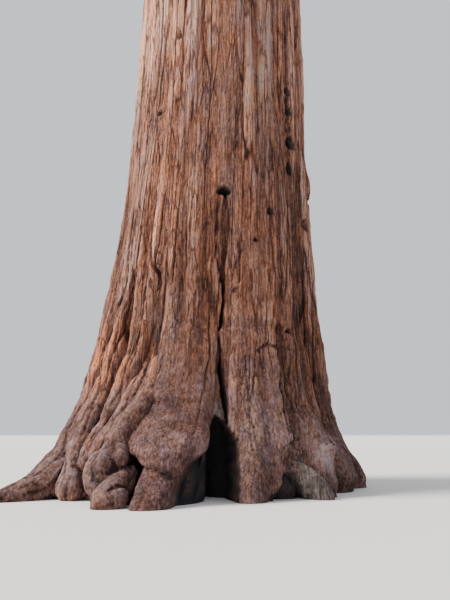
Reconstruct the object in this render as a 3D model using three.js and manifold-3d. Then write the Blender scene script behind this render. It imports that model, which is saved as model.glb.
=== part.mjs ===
// Giant sequoia, a whole old tree rooted in level ground.
// Millimetres, +Z up. The origin is on the flat cut under the trunk, the photographed side faces -Y.
// The living tree is about 80 m tall. Every size here is half of the real one, so it stands 40 m tall.

import * as THREE from 'three';
import { mergeVertices } from 'three/addons/utils/BufferGeometryUtils.js';
import Module from 'manifold-3d';

const wasm = await Module();
wasm.setup();

// Whole tree
const treeHeight = 40000;
const trunkTop = 39200;
const faceGap = 1;

// Trunk stem: radius where the bark runs straight, and how it narrows towards the tip
const stemRadius = 1240;
const stemTaperPower = 3.5;
const stemTaperFullness = 0.9;
const tipRadius = 50;
const trunkSides = 44;
const trunkRings = 17;
const ringCrowding = 1.8;

// The lower trunk swells and leans a little to the left of the photographed side
const swellRadius = 550;
const swellHeight = 2900;
const baseShift = -330;
const baseShiftHeight = 4500;

// Root flare
const footHeight = 600;
const shoulderHeight = 2500;
const buttressRoundness = 0.6;
const degree = Math.PI / 180;

// Each buttress: angle from the front towards the right, reach at its foot,
// reach of its shoulder higher up, and half its width, all as seen from the trunk's centre
const buttresses = [
  { angle: -72, foot: 600, shoulder: 260, width: 640 },
  { angle: -50, foot: 420, shoulder: 240, width: 420 },
  { angle: -34, foot: 330, shoulder: 210, width: 400 },
  { angle: -13, foot: 760, shoulder: 250, width: 560 },
  { angle: 15, foot: 280, shoulder: 230, width: 420 },
  { angle: 32, foot: 260, shoulder: 210, width: 380 },
  { angle: 50, foot: 300, shoulder: 190, width: 400 },
  { angle: 70, foot: 240, shoulder: 170, width: 400 },
  { angle: 93, foot: 350, shoulder: 250, width: 480 },
  { angle: 121, foot: 420, shoulder: 210, width: 560 },
  { angle: 150, foot: 640, shoulder: 240, width: 620 },
  { angle: 178, foot: 380, shoulder: 220, width: 560 },
  { angle: 207, foot: 700, shoulder: 250, width: 640 },
  { angle: 237, foot: 460, shoulder: 230, width: 560 },
  { angle: 263, foot: 340, shoulder: 200, width: 480 },
];

// Surface roots that leave the flare on the left, each a bent taper that runs out along the ground
const surfaceRoots = [
  {
    path: [[-1780, -620, 1300], [-2040, -1120, 620], [-2200, -1600, 210], [-2720, -2110, -20]],
    startRadius: 240, endRadius: 90,
  },
  {
    path: [[-1580, -1050, 1300], [-1740, -1400, 780], [-1790, -1680, 340], [-1810, -1810, 60]],
    startRadius: 240, endRadius: 160,
  },
  {
    path: [[-1040, -1750, 1200], [-1230, -2100, 600], [-1190, -2420, 270], [-1230, -2620, 40]],
    startRadius: 220, endRadius: 160,
  },
];
const rootSides = 8;
const rootSteps = 5;

// Rounded lumps on the trunk: the knee left of the fire hollow, the grey foot and the burl on the
// right, and the collar of a lost limb high on the right edge
const burls = [
  { centre: [-700, -2120, 400], size: [420, 470, 600] },
  { centre: [1130, -1360, 160], size: [170, 160, 210] },
  { centre: [1120, -1180, 630], size: [220, 230, 260] },
  { centre: [1310, 20, 4620], size: [90, 120, 310] },
];

// Fire hollow at the front, a pointed arch that runs into the trunk
const hollowCentreX = -40;
const hollowWidth = 430;
const hollowTop = 960;
const hollowBack = -1180;
const scorchWidth = 240;
const scorchTop = 520;
const scorchFootTop = 156;
const cutLength = 2620;
const belowCut = 10;
const groundDepth = 4000;

// Crown outline: how far the foliage reaches from the trunk's axis
const crownBase = 15500;
const crownWidest = 24500;
const crownReach = 7200;
const crownReachLow = 5200;
const crownTipPower = 2.2;
const crownTipFullness = 0.7;

// Limbs climb the trunk in a spiral, each a fixed turn on from the one below and a little out of step
const limbCount = 22;
const layoutSeed = 19;
const spiralTurn = 137.5 * degree;
const turnScatter = 0.4;
const lowestTip = 16900;
const highestTip = 35600;
const tipCrowding = 0.95;
const tipScatter = 500;
const lowLimbRise = 2500;
const highLimbRise = 1500;
const lowLimbRadius = 400;
const highLimbRadius = 170;
const limbTipShare = 0.4;
const limbRootDrop = 120;
const limbSides = 5;
const limbSteps = 3;

// Foliage masses: one on the end of every limb and a few round the leading tip
const lowMassSize = 2550;
const highMassSize = 1950;
const massLift = 250;
const massDetail = 2;
const lumpDepth = 0.16;
const flatBelow = 0.72;
const topMassCount = 3;
const topMassHeight = 37300;
const topMassStep = 450;
const topMassAway = 1400;
const topMassAngle = 1.2;
const topMassDepth = 0.92;
const topMassSeed = 60;
const leaderWidth = 2200;
const leaderTallness = 1850;
const topMassSize = 1850;
const massRoomSides = 12;
const massRoomGap = 60;
const massRoomHeights = [9000, 15000, 20000, 24500, 28500, 32000, 34800, 37000, 38500];

// One stream of chance for each thing that varies from limb to limb
const streams = { height: 0, turn: 40, rise: 80, size: 120, reach: 160, width: 200, tallness: 240 };

// Colours
const barkColour = 0x9a5f48;
const limbColour = 0x8a5a48;
const foliageColour = 0x5c7048;

const mix = (a, b, t) => a + (b - a) * t;

function hash(seed) {
  const value = Math.sin(seed * 127.1 + 311.7) * 43758.5453;
  return value - Math.floor(value);
}

function chance(number, stream, low, high) {
  return mix(low, high, hash(number + layoutSeed + stream));
}

function material(colour) {
  return new THREE.MeshStandardMaterial({ color: colour, roughness: 0.95, metalness: 0 });
}

function toSolid(geometry) {
  const bare = geometry.clone();
  bare.deleteAttribute('normal');
  bare.deleteAttribute('uv');
  const merged = mergeVertices(bare, 0.01);
  return new wasm.Manifold(new wasm.Mesh({
    numProp: 3,
    vertProperties: new Float32Array(merged.attributes.position.array),
    triVerts: new Uint32Array(merged.index.array),
  }));
}

function toGeometry(solid) {
  const mesh = solid.getMesh();
  const geometry = new THREE.BufferGeometry();
  geometry.setAttribute('position', new THREE.BufferAttribute(mesh.vertProperties, 3));
  geometry.setIndex(new THREE.BufferAttribute(mesh.triVerts, 1));
  geometry.computeVertexNormals();
  return geometry;
}

// Trunk

function stemRadiusAt(height) {
  const rise = Math.min(height / trunkTop, 1);
  return tipRadius + stemRadius * Math.pow(1 - Math.pow(rise, stemTaperPower), stemTaperFullness);
}

function trunkCentreX(height) {
  return baseShift * Math.exp(-height / baseShiftHeight);
}

function buttressReach(buttress, angle, height, coreRadius) {
  const reach = buttress.foot * Math.exp(-height / footHeight)
    + buttress.shoulder * Math.exp(-height / shoulderHeight);
  const halfAngle = buttress.width / coreRadius;
  let away = angle - buttress.angle * degree;
  away = Math.atan2(Math.sin(away), Math.cos(away));
  const across = Math.min(Math.abs(away) / halfAngle, 1);
  return reach * Math.pow(1 - across * across, buttressRoundness);
}

function trunkRadiusAt(angle, height) {
  const core = stemRadiusAt(height) + swellRadius * Math.exp(-height / swellHeight);
  const reaches = buttresses.map((each) => buttressReach(each, angle, height, core));
  return core + Math.max(...reaches);
}

function trunkPoint(angle, height, extra) {
  const radius = trunkRadiusAt(angle, height) + extra;
  const x = trunkCentreX(height) + radius * Math.sin(angle);
  const y = -radius * Math.cos(angle);
  return new THREE.Vector3(x, y, height);
}

function trunkLoft(extra) {
  const geometry = new THREE.CylinderGeometry(1, 1, 1, trunkSides, trunkRings);
  const position = geometry.attributes.position;
  for (let i = 0; i < position.count; i += 1) {
    const rise = position.getY(i) + 0.5;
    const height = trunkTop * Math.pow(rise, ringCrowding);
    const fromAxis = Math.hypot(position.getX(i), position.getZ(i));
    const angle = Math.atan2(position.getX(i), position.getZ(i));
    const onAxis = new THREE.Vector3(trunkCentreX(height), 0, height);
    const placed = fromAxis < 0.5 ? onAxis : trunkPoint(angle, height, extra);
    position.setXYZ(i, placed.x, placed.y, placed.z);
  }
  return geometry;
}

// A tapering limb: a capped cylinder bent along a smooth curve
function bentTaper(curve, startRadius, endRadius, sides, steps) {
  const geometry = new THREE.CylinderGeometry(1, 1, 1, sides, steps);
  const frames = curve.computeFrenetFrames(steps, false);
  const position = geometry.attributes.position;
  for (let i = 0; i < position.count; i += 1) {
    const step = Math.round((position.getY(i) + 0.5) * steps);
    const radius = mix(startRadius, endRadius, step / steps);
    const point = curve.getPointAt(step / steps);
    point.addScaledVector(frames.normals[step], position.getZ(i) * radius);
    point.addScaledVector(frames.binormals[step], position.getX(i) * radius);
    position.setXYZ(i, point.x, point.y, point.z);
  }
  return geometry;
}

function smoothCurve(points) {
  return new THREE.CatmullRomCurve3(points.map((each) => new THREE.Vector3(...each)));
}

function surfaceRoot(root) {
  const curve = smoothCurve(root.path);
  return bentTaper(curve, root.startRadius, root.endRadius, rootSides, rootSteps);
}

function burl(shape) {
  const geometry = new THREE.IcosahedronGeometry(1, 1);
  geometry.scale(...shape.size);
  geometry.translate(...shape.centre);
  return geometry;
}

// Pointed arch with a lower shoulder on its left, drawn in the XZ plane and extruded along Y
function hollow() {
  const half = hollowWidth / 2;
  const shape = new THREE.Shape();
  shape.moveTo(hollowCentreX + half, -belowCut);
  shape.quadraticCurveTo(hollowCentreX + half * 0.9, hollowTop * 0.6, hollowCentreX, hollowTop);
  shape.quadraticCurveTo(hollowCentreX - half * 0.7, hollowTop * 0.7, hollowCentreX - half, scorchTop);
  shape.lineTo(hollowCentreX - half - scorchWidth, scorchFootTop);
  shape.lineTo(hollowCentreX - half - scorchWidth, -belowCut);
  shape.closePath();
  const settings = { depth: cutLength, bevelEnabled: false, curveSegments: 5 };
  const geometry = new THREE.ExtrudeGeometry(shape, settings);
  geometry.rotateX(Math.PI / 2);
  geometry.translate(0, hollowBack, 0);
  return geometry;
}

function belowGround() {
  const geometry = new THREE.BoxGeometry(treeHeight, treeHeight, groundDepth);
  geometry.translate(0, 0, -groundDepth / 2);
  return geometry;
}

function makeTrunk() {
  let solid = toSolid(trunkLoft(0));
  surfaceRoots.forEach((root) => {
    solid = solid.add(toSolid(surfaceRoot(root)));
  });
  burls.forEach((shape) => {
    solid = solid.add(toSolid(burl(shape)));
  });
  solid = solid.subtract(toSolid(hollow()));
  return solid.subtract(toSolid(belowGround()));
}

// Crown

function crownReachAt(height) {
  if (height < crownWidest) {
    const below = Math.max(0, (height - crownBase) / (crownWidest - crownBase));
    return mix(crownReachLow, crownReach, Math.sin(below * Math.PI / 2));
  }
  const above = (height - crownWidest) / (treeHeight - crownWidest);
  return crownReach * Math.pow(Math.max(0, 1 - Math.pow(above, crownTipPower)), crownTipFullness);
}

function limbPlan(index) {
  const share = index / (limbCount - 1);
  const evenHeight = mix(lowestTip, highestTip, Math.pow(share, tipCrowding));
  const tipHeight = evenHeight + chance(index, streams.height, -tipScatter / 2, tipScatter / 2);
  const rise = mix(lowLimbRise, highLimbRise, share) * chance(index, streams.rise, 0.75, 1.3);
  const massSize = mix(lowMassSize, highMassSize, share) * chance(index, streams.size, 0.88, 1.12);
  const reach = crownReachAt(tipHeight) * chance(index, streams.reach, 0.86, 1.04);
  return {
    tipHeight,
    massSize,
    start: tipHeight - rise,
    angle: index * spiralTurn + chance(index, streams.turn, -turnScatter / 2, turnScatter / 2),
    seed: index + 1,
    radius: mix(lowLimbRadius, highLimbRadius, share),
    massReach: Math.max(reach - massSize, massSize * 0.7),
  };
}

// Out from the trunk and then up, so that every limb ends steeper than it starts
function limbCurve(plan) {
  const outward = new THREE.Vector3(Math.sin(plan.angle), -Math.cos(plan.angle), 0);
  const along = (distance, height) => outward.clone().multiplyScalar(distance).setZ(height);
  const rise = plan.tipHeight - plan.start;
  const points = [
    along(0, plan.start - limbRootDrop),
    along(plan.massReach * 0.5, plan.start + rise * 0.22),
    along(plan.massReach * 0.85, plan.start + rise * 0.62),
    along(plan.massReach, plan.tipHeight),
  ];
  return new THREE.CatmullRomCurve3(points);
}

// Uneven rounded mass: an icosahedral ball pushed in and out by slow waves, flatter below
function lumpy(direction, seed) {
  const acrossWaves = mix(2.1, 3.3, hash(seed * 3));
  const depthWaves = mix(2.4, 3.8, hash(seed * 5));
  const across = Math.sin(direction.x * acrossWaves * 2 + seed);
  const deep = Math.cos(direction.y * depthWaves * 2 - seed * 1.7);
  const upright = Math.sin(direction.z * 4.3 + direction.x * depthWaves + seed * 2.3);
  return 1 + lumpDepth * (across * deep + 0.7 * upright);
}

function massGeometry(mass, extra) {
  const geometry = new THREE.IcosahedronGeometry(1, massDetail);
  const position = geometry.attributes.position;
  const direction = new THREE.Vector3();
  for (let i = 0; i < position.count; i += 1) {
    direction.fromBufferAttribute(position, i).normalize();
    const flat = direction.z < 0 ? flatBelow : 1;
    const swell = lumpy(direction, mass.seed);
    const x = direction.x * (mass.size[0] * swell + extra);
    const y = direction.y * (mass.size[1] * swell + extra);
    const z = direction.z * (mass.size[2] * swell * flat + extra);
    position.setXYZ(i, x, y, z);
  }
  geometry.rotateZ(mass.turn);
  geometry.translate(...mass.centre);
  return geometry;
}

function limbMass(plan) {
  const x = plan.massReach * Math.sin(plan.angle);
  const y = -plan.massReach * Math.cos(plan.angle);
  const wide = plan.massSize * chance(plan.seed, streams.width, 0.9, 1.12);
  const tall = plan.massSize * chance(plan.seed, streams.tallness, 0.85, 1.15);
  return {
    centre: [x, y, plan.tipHeight + massLift],
    size: [wide, plan.massSize, tall],
    turn: plan.angle,
    seed: plan.seed,
  };
}

// The first of these wraps the leading tip, and its top is the top of the tree
function topMass(index) {
  const leader = index === 0;
  const angle = topMassAngle + index * Math.PI;
  const away = leader ? 0 : topMassAway;
  const wide = leader ? leaderWidth : topMassSize;
  const tall = leader ? leaderTallness : topMassSize;
  const height = topMassHeight - topMassStep * index;
  const mass = {
    centre: [away * Math.sin(angle), -away * Math.cos(angle), height],
    size: [wide, wide * topMassDepth, tall],
    turn: angle,
    seed: topMassSeed + index,
  };
  if (leader) {
    mass.centre[2] += treeHeight - highestPoint(massGeometry(mass, 0));
  }
  return mass;
}

function highestPoint(geometry) {
  geometry.computeBoundingBox();
  return geometry.boundingBox.max.z;
}

// Room for the trunk inside the crown: a plain turned core just wider than the bark
function trunkRoomInCrown() {
  const wider = 1 / Math.cos(Math.PI / massRoomSides);
  const profile = [new THREE.Vector2(0, massRoomHeights[0])];
  [...massRoomHeights, trunkTop].forEach((height) => {
    let widest = 0;
    for (let side = 0; side < trunkSides; side += 1) {
      const angle = side / trunkSides * 2 * Math.PI;
      widest = Math.max(widest, trunkRadiusAt(angle, height));
    }
    profile.push(new THREE.Vector2(widest * wider + massRoomGap, height));
  });
  profile.push(new THREE.Vector2(0, trunkTop + massRoomGap));
  const geometry = new THREE.LatheGeometry(profile, massRoomSides);
  geometry.rotateX(Math.PI / 2);
  return geometry;
}

function addPiece(group, name, solid, colour) {
  const mesh = new THREE.Mesh(toGeometry(solid), material(colour));
  mesh.name = name;
  group.add(mesh);
}

const twoDigits = (value) => String(value).padStart(2, '0');

const tree = new THREE.Group();
addPiece(tree, 'trunk', makeTrunk(), barkColour);

const plans = Array.from({ length: limbCount }, (_, index) => limbPlan(index));
const masses = plans.map(limbMass);
for (let index = 0; index < topMassCount; index += 1) {
  masses.push(topMass(index));
}

const trunkRoom = toSolid(trunkLoft(faceGap));
const crownRoom = toSolid(trunkRoomInCrown());
const limbSolids = plans.map((plan) => {
  const shape = bentTaper(limbCurve(plan), plan.radius, plan.radius * limbTipShare, limbSides, limbSteps);
  return toSolid(shape).subtract(trunkRoom);
});

masses.forEach((mass, index) => {
  let solid = toSolid(massGeometry(mass, 0)).subtract(crownRoom);
  for (let other = 0; other < index; other += 1) {
    solid = solid.subtract(toSolid(massGeometry(masses[other], faceGap)));
  }
  addPiece(tree, `foliage_${twoDigits(index + 1)}`, solid, foliageColour);
});

limbSolids.forEach((limb, index) => {
  let solid = limb;
  masses.forEach((mass) => {
    solid = solid.subtract(toSolid(massGeometry(mass, faceGap)));
  });
  addPiece(tree, `bough_${twoDigits(index + 1)}`, solid, limbColour);
});

export default tree;
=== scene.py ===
import math

import bmesh
import bpy
import numpy as np
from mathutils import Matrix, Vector
from mathutils.bvhtree import BVHTree


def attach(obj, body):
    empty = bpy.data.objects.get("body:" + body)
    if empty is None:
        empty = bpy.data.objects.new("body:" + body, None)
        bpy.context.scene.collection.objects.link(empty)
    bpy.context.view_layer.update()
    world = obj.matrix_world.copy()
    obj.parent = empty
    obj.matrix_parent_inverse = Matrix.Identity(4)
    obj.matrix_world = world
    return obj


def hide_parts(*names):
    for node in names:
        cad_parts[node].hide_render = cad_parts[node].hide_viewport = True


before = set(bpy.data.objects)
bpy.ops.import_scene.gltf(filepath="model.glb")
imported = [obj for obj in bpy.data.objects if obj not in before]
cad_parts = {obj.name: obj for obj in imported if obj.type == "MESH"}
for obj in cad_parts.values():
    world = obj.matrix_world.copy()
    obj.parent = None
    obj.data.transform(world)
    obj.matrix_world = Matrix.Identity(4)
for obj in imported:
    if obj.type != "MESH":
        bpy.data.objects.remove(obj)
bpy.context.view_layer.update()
scene = bpy.context.scene
print("frame loaded")


def addObject(name, data):
    piece = bpy.data.objects.new(name, data)
    scene.collection.objects.link(piece)
    return piece


# Camera, light and floor

viewPoint = {"distance": 9.25, "height": 0.75, "tiltUp": 12.5, "lens": 36.4, "farthest": 2000}

camera = addObject("camera", bpy.data.cameras.new("camera"))
camera.data.lens = viewPoint["lens"]
camera.data.clip_end = viewPoint["farthest"]
camera.location = (0, -viewPoint["distance"], viewPoint["height"])
camera.rotation_euler = (math.radians(90 + viewPoint["tiltUp"]), 0, 0)
scene.camera = camera

studio = {"skyColour": (0.93, 0.95, 1), "skyStrength": 0.95, "floorColour": (0.72, 0.71, 0.70),
          "floorRadius": 600, "floorSides": 96, "floorDrop": 0.002}
suns = [  # name, strength, softness, colour, elevation, azimuth
    ("keyLight", 7.4, 25, (1, 0.95, 0.88), 40, -78),
    ("fillLight", 0.3, 60, (0.9, 0.94, 1), 30, 20),
]

world = bpy.data.worlds.new("paleStudio")
world.use_nodes = True
background = world.node_tree.nodes["Background"]
background.inputs["Color"].default_value = (*studio["skyColour"], 1)
background.inputs["Strength"].default_value = studio["skyStrength"]
scene.world = world

for name, strength, softness, colour, elevation, azimuth in suns:
    sun = bpy.data.lights.new(name, "SUN")
    sun.energy = strength
    sun.angle = math.radians(softness)
    sun.color = colour
    lamp = addObject(name, sun)
    lamp.rotation_euler = (math.radians(90 - elevation), 0, math.radians(azimuth))


# Small numpy helpers: repeatable noise on a lattice

def mixed(ix, iy, seed):
    h = (ix.astype(np.int64) * 374761393 + iy.astype(np.int64) * 668265263 + seed * 974711) & 0xffffffff
    h = ((h ^ (h >> 13)) * 1274126177) & 0xffffffff
    return ((h ^ (h >> 16)) & 0xffffff) / float(0xffffff)


def smooth(low, high, value):
    t = np.clip((value - low) / (high - low), 0, 1)
    return t * t * (3 - 2 * t)


def mixNumbers(a, b, t):
    return a + (b - a) * t


def latticeNoise(x, y, seed, period=0):
    ix, iy = np.floor(x), np.floor(y)
    fx, fy = x - ix, y - iy
    fx, fy = fx * fx * (3 - 2 * fx), fy * fy * (3 - 2 * fy)
    wrap = (lambda k: np.mod(k, period)) if period else (lambda k: k)
    low = mixNumbers(mixed(wrap(ix), iy, seed), mixed(wrap(ix + 1), iy, seed), fx)
    high = mixNumbers(mixed(wrap(ix), iy + 1, seed), mixed(wrap(ix + 1), iy + 1, seed), fx)
    return mixNumbers(low, high, fy) * 2 - 1


# Noise on a skin that closes all round: cells round it, cells for each metre of height, seed
def skinNoise(turn, height):
    return lambda cells, rise, seed: latticeNoise(turn * cells, height * rise, seed, cells)


def unit(vectors):
    return vectors / np.linalg.norm(vectors, axis=1, keepdims=True)


def bump(distance, width):
    return np.exp(-(distance / width) ** 2)


# Long narrow cells: 0 on their borders, rising inwards, and a level of chance for each cell
def cellPattern(turn, height, cells, length, seed):
    x, y = turn * cells + 0 * height, height / length + 0 * turn
    ix, iy = np.floor(x), np.floor(y)
    nearest = np.full(x.shape, 9.0)
    second = np.full(x.shape, 9.0)
    level = np.zeros(x.shape)
    for dx in (-1, 0, 1):
        for dy in (-1, 0, 1):
            cx, cy = ix + dx, iy + dy
            wx = np.mod(cx, cells)
            px = cx + 0.5 + 0.8 * (mixed(wx, cy, seed) - 0.5) - x
            py = cy + 0.5 + 0.9 * (mixed(wx, cy, seed + 7) - 0.5) - y
            far = np.sqrt(px * px + py * py)
            second = np.where(far < nearest, nearest, np.minimum(second, far))
            level = np.where(far < nearest, mixed(wx, cy, seed + 13), level)
            nearest = np.minimum(nearest, far)
    return second - nearest, level


def cellPlates(turn, height, cells, length, seed):
    return cellPattern(turn, height, cells, length, seed)[0]


# Trunk: the same outline as the CAD trunk, then furrowed bark

trunk = {
    "top": 39.2, "tipRadius": 0.05, "stemRadius": 1.24, "taperPower": 3.5, "taperFullness": 0.9,
    "swell": 0.55, "swellHeight": 2.9, "shift": -0.33, "shiftHeight": 4.5,
    "footHeight": 0.6, "shoulderHeight": 2.5,
}
buttresses = [  # angle from the front towards the right, reach at the foot, reach of the shoulder, half width
    (-72, 0.6, 0.26, 0.64), (-50, 0.42, 0.24, 0.42), (-34, 0.33, 0.21, 0.4), (-13, 0.76, 0.25, 0.56),
    (15, 0.28, 0.23, 0.42), (32, 0.26, 0.21, 0.38), (50, 0.3, 0.19, 0.4), (70, 0.24, 0.17, 0.4),
    (93, 0.35, 0.25, 0.48), (121, 0.42, 0.21, 0.56), (150, 0.64, 0.24, 0.62), (178, 0.38, 0.22, 0.56),
    (207, 0.7, 0.25, 0.64), (237, 0.46, 0.23, 0.56), (263, 0.34, 0.2, 0.48),
]


def angleFrom(angle, degrees):
    away = angle - np.radians(degrees)
    return np.arctan2(np.sin(away), np.cos(away))


# 1 where the surface faces a turn in degrees, less beside it
def facing(angle, turn, halfTurn):
    return bump(angleFrom(angle, turn), math.radians(halfTurn))


# A soft patch on the trunk: turn and half width in degrees, height and half height in metres
def patch(angle, height, turn, halfTurn, level, halfHeight):
    return facing(angle, turn, halfTurn) * bump(height - level, halfHeight)


# How far round the trunk each angle is, from 0 to 1
def turnShare(angle):
    return np.mod(angle, 2 * math.pi) / (2 * math.pi)


def trunkCentre(height):
    return trunk["shift"] * np.exp(-height / trunk["shiftHeight"])


def coreRadius(height):
    rise = np.clip(height / trunk["top"], 0, 1)
    stem = (1 - rise ** trunk["taperPower"]) ** trunk["taperFullness"]
    swell = trunk["swell"] * np.exp(-height / trunk["swellHeight"])
    return trunk["tipRadius"] + trunk["stemRadius"] * stem + swell


def softMax(a, b, width):
    gap = np.clip(0.5 + 0.5 * (a - b) / width, 0, 1)
    return mixNumbers(b, a, gap) + width * gap * (1 - gap)


def trunkRadius(angle, height):
    core = coreRadius(height)
    reach = np.zeros(np.broadcast(angle, height).shape)
    footFade = np.exp(-height / trunk["footHeight"])
    shoulderFade = np.exp(-height / trunk["shoulderHeight"])
    for turn, foot, shoulder, width in buttresses:
        across = np.clip(np.abs(angleFrom(angle, turn)) / (width / core), 0, 1)
        out = foot * footFade + shoulder * shoulderFade
        reach = softMax(reach, out * (1 - across ** 2) ** 0.6, 0.02)
    return core + reach


# What marks the trunk: heights and sizes in metres, angles in degrees from the front
hollow = {"left": -0.225, "right": 0.165, "top": 0.965, "lean": 0.105, "narrowing": 0.285, "depth": 0.60,
          "scorchTop": 0.66, "scorchDepth": 0.24}
seam = {"low": 0.84, "high": 3.0, "grooveHigh": 3.9, "width": 0.021, "depth": 0.26, "valleyWidth": 0.19,
        "valleyDepth": 0.095}
seamPath = [
    (0.83, 10), (1.04, 9.2), (1.28, 7.6), (1.53, 6.2), (1.92, 5.3), (2.02, 4.1), (2.12, 5.4), (2.45, 6.6),
    (3.07, 5.3),
]
kneeLeft = [
    (0, -13.6), (0.14, -13.7), (0.28, -14.6), (0.37, -14.6), (0.48, -17.2), (0.57, -21.8), (0.76, -25.3),
    (1.06, -27.5),
]
kneeRight = [
    (0, -5), (0.21, -4.7), (0.28, -4.1), (0.39, -3.3), (0.46, -1.1), (0.61, 1.9), (0.71, 2.4), (0.95, 3.4),
]
kneeProfile = [
    (0, 0.16), (0.1, 0.2), (0.28, 0.2), (0.36, 0.16), (0.43, 0.2), (0.55, 0.24), (0.74, 0.22), (0.92, 0.14),
    (1.06, 0.03), (1.12, 0),
]
recess = {"from": -64, "top": 0.95, "depth": 0.09, "gapWidth": 6.0, "gapTop": 0.62, "gapDepth": 0.22}
swells = [  # angle, height, half angle, half height, lift
    (-18, 1.27, 8.5, 0.2, 0.07), (-1.5, 0.72, 5, 0.16, 0.045), (19, 0.42, 8.5, 0.42, 0.07),
    (27, 0.9, 5.5, 0.4, 0.04), (46, 0.72, 7, 0.34, 0.17), (50.5, 0.62, 3.2, 0.13, 0.12),
    (40, 0.55, 2.6, 0.1, 0.04), (45.5, 0.92, 2.4, 0.09, 0.035), (47, 0.44, 2.6, 0.09, 0.04),
    (43, 0.2, 5, 0.2, 0.13), (80, 0.26, 16, 0.26, 0.15), (64, 0.75, 6, 0.35, 0.05), (91, 4.7, 5, 0.27, 0.08),
    (-52, 1.75, 6, 0.3, 0.05), (-38, 1.55, 5, 0.35, 0.05), (120, 0.4, 14, 0.35, 0.08),
    (-110, 0.5, 14, 0.4, 0.09), (165, 0.3, 16, 0.3, 0.08),
]
undercut = {"angle": 32.0, "halfAngle": 7.0, "top": 0.32, "depth": 0.24}
toeTuck = {"depth": 0.075, "height": 0.10}
valleys = [  # half width, depth, path of (angle, height): the creases between the big lobes
    (0.085, 0.13, [(-45.4, 2.9), (-44.1, 2.12), (-42.8, 1.7), (-41.8, 1.48), (-43.9, 1.2), (-48.5, 1.03),
     (-57, 0.8)]),
    (0.075, 0.12, [(-30, 2.9), (-29.4, 2.35), (-28.6, 1.8), (-27.4, 1.4), (-26.6, 1.1)]),
    (0.06, 0.06, [(-51, 3.9), (-51.5, 3.14), (-52.5, 2.5), (-55, 1.9)]),
    (0.065, 0.11, [(34.8, 2.1), (35, 1.71), (37.5, 1.5), (36.3, 1.05), (36, 0.7), (32, 0.51), (29, 0.25)]),
    (0.12, 0.3, [(59, 1.35), (60, 0.9), (60.5, 0.55), (58, 0.28), (56, 0)]),
    (0.07, 0.12, [(54, 2.7), (55, 2.1), (57, 1.6), (59, 1.3)]),
    (0.08, 0.09, [(105, 2.4), (107, 1.2), (107, 0)]),
    (0.09, 0.12, [(136, 2.8), (135, 1.2), (136, 0)]),
    (0.09, 0.11, [(164, 2.3), (165, 1), (164, 0)]),
    (0.1, 0.14, [(192, 3), (191, 1.3), (192, 0)]),
    (0.09, 0.12, [(222, 2.5), (223, 1.1), (222, 0)]),
    (0.08, 0.11, [(250, 2.6), (251, 1.2), (252, 0)]),
    (0.08, 0.1, [(272, 2.2), (274, 1), (274, 0)]),
]
barkCracks = [  # half width, depth, path of (angle, height)
    (0.03, 0.05, [(-35.6, 4.1), (-35.4, 3.3), (-35.2, 2.5), (-33.6, 2.05), (-34, 1.6)]),
    (0.05, 0.09, [(-28.4, 2.9), (-27.2, 2.06), (-28.6, 1.6), (-30, 1.2), (-33, 0.8)]),
    (0.03, 0.045, [(-21.5, 2.8), (-22.6, 2.06), (-22.5, 1.5)]),
    (0.02, 0.036, [(-8.9, 0.85), (-5, 0.79), (-2.3, 0.75), (-1, 0.78)]),
    (0.02, 0.05, [(22, 1.8), (24.5, 1.85), (27, 1.9), (31, 1.86), (34.5, 1.9), (40.4, 1.84)]),
    (0.015, 0.045, [(29, 2.9), (29.8, 2.7), (31, 2.4), (32.4, 2.06)]),
    (0.034, 0.085, [(74, 4.44), (84, 4.41), (96, 4.39), (104, 4.42)]),
    (0.012, 0.03, [(34, 1.8), (32.8, 1.62), (30.2, 1.45)]),
    (0.017, 0.035, [(39.8, 1.57), (36.7, 1.44), (35.3, 1.28)]),
    (0.018, 0.06, [(32.5, 1.75), (32.9, 1.55), (31.6, 1.38), (32.3, 1.2), (31.4, 1.06), (33, 0.85),
     (36, 0.68)]),
    (0.014, 0.04, [(36.5, 0.69), (32.6, 0.65), (29.4, 0.6), (28, 0.45)]),
    (0.026, 0.016, [(-27, 1.03), (-18.5, 1), (-13.2, 1), (-8.5, 1.02), (-3.5, 1.04)]),
    (0.02, 0.07, [(-16.5, 0.38), (-13.1, 0.41), (-8.7, 0.37), (-4.5, 0.3)]),
    (0.022, 0.06, [(1.9, 3.95), (1.4, 3.36), (2.4, 3.08), (3.6, 2.9)]),
    (0.026, 0.075, [(5.6, 3.95), (7.2, 3.62), (7.1, 3.23), (5.6, 3.04), (5.3, 2.75)]),
    (0.016, 0.035, [(13.5, 3.3), (14, 2.9), (13.2, 2.5)]),
    (0.014, 0.03, [(19.5, 2.9), (20.5, 2.5), (21.5, 2.2)]),
]
holes = [  # angle, height, half width, half height, depth, how black
    (4.8, 4.02, 0.095, 0.058, 0.16, 1), (31.2, 3.79, 0.055, 0.055, 0.12, 0.9),
    (21.8, 3.33, 0.036, 0.034, 0.07, 0.8), (39.9, 2.1, 0.055, 0.032, 0.09, 0.8),
    (47.2, 5.84, 0.05, 0.052, 0.12, 0.9), (49, 5.52, 0.08, 0.072, 0.2, 1), (49.8, 5, 0.1, 0.095, 0.2, 1),
    (47.7, 4.57, 0.055, 0.115, 0.15, 1), (63.7, 3.79, 0.11, 0.09, 0.1, 0.7),
    (49.5, 5.24, 0.03, 0.05, 0.03, 0.4), (48.5, 4.8, 0.03, 0.045, 0.03, 0.4),
    (-38, 5.38, 0.06, 0.05, 0.04, 0.2), (-26, 6.6, 0.05, 0.09, 0.04, 0.2), (12, 2.6, 0.04, 0.04, 0.04, 0.2),
    (140, 4.4, 0.06, 0.09, 0.14, 1), (-128, 3.1, 0.05, 0.08, 0.12, 0.9), (172, 6.3, 0.05, 0.07, 0.12, 1),
    (-95, 6.9, 0.04, 0.06, 0.1, 0.8),
]


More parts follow.
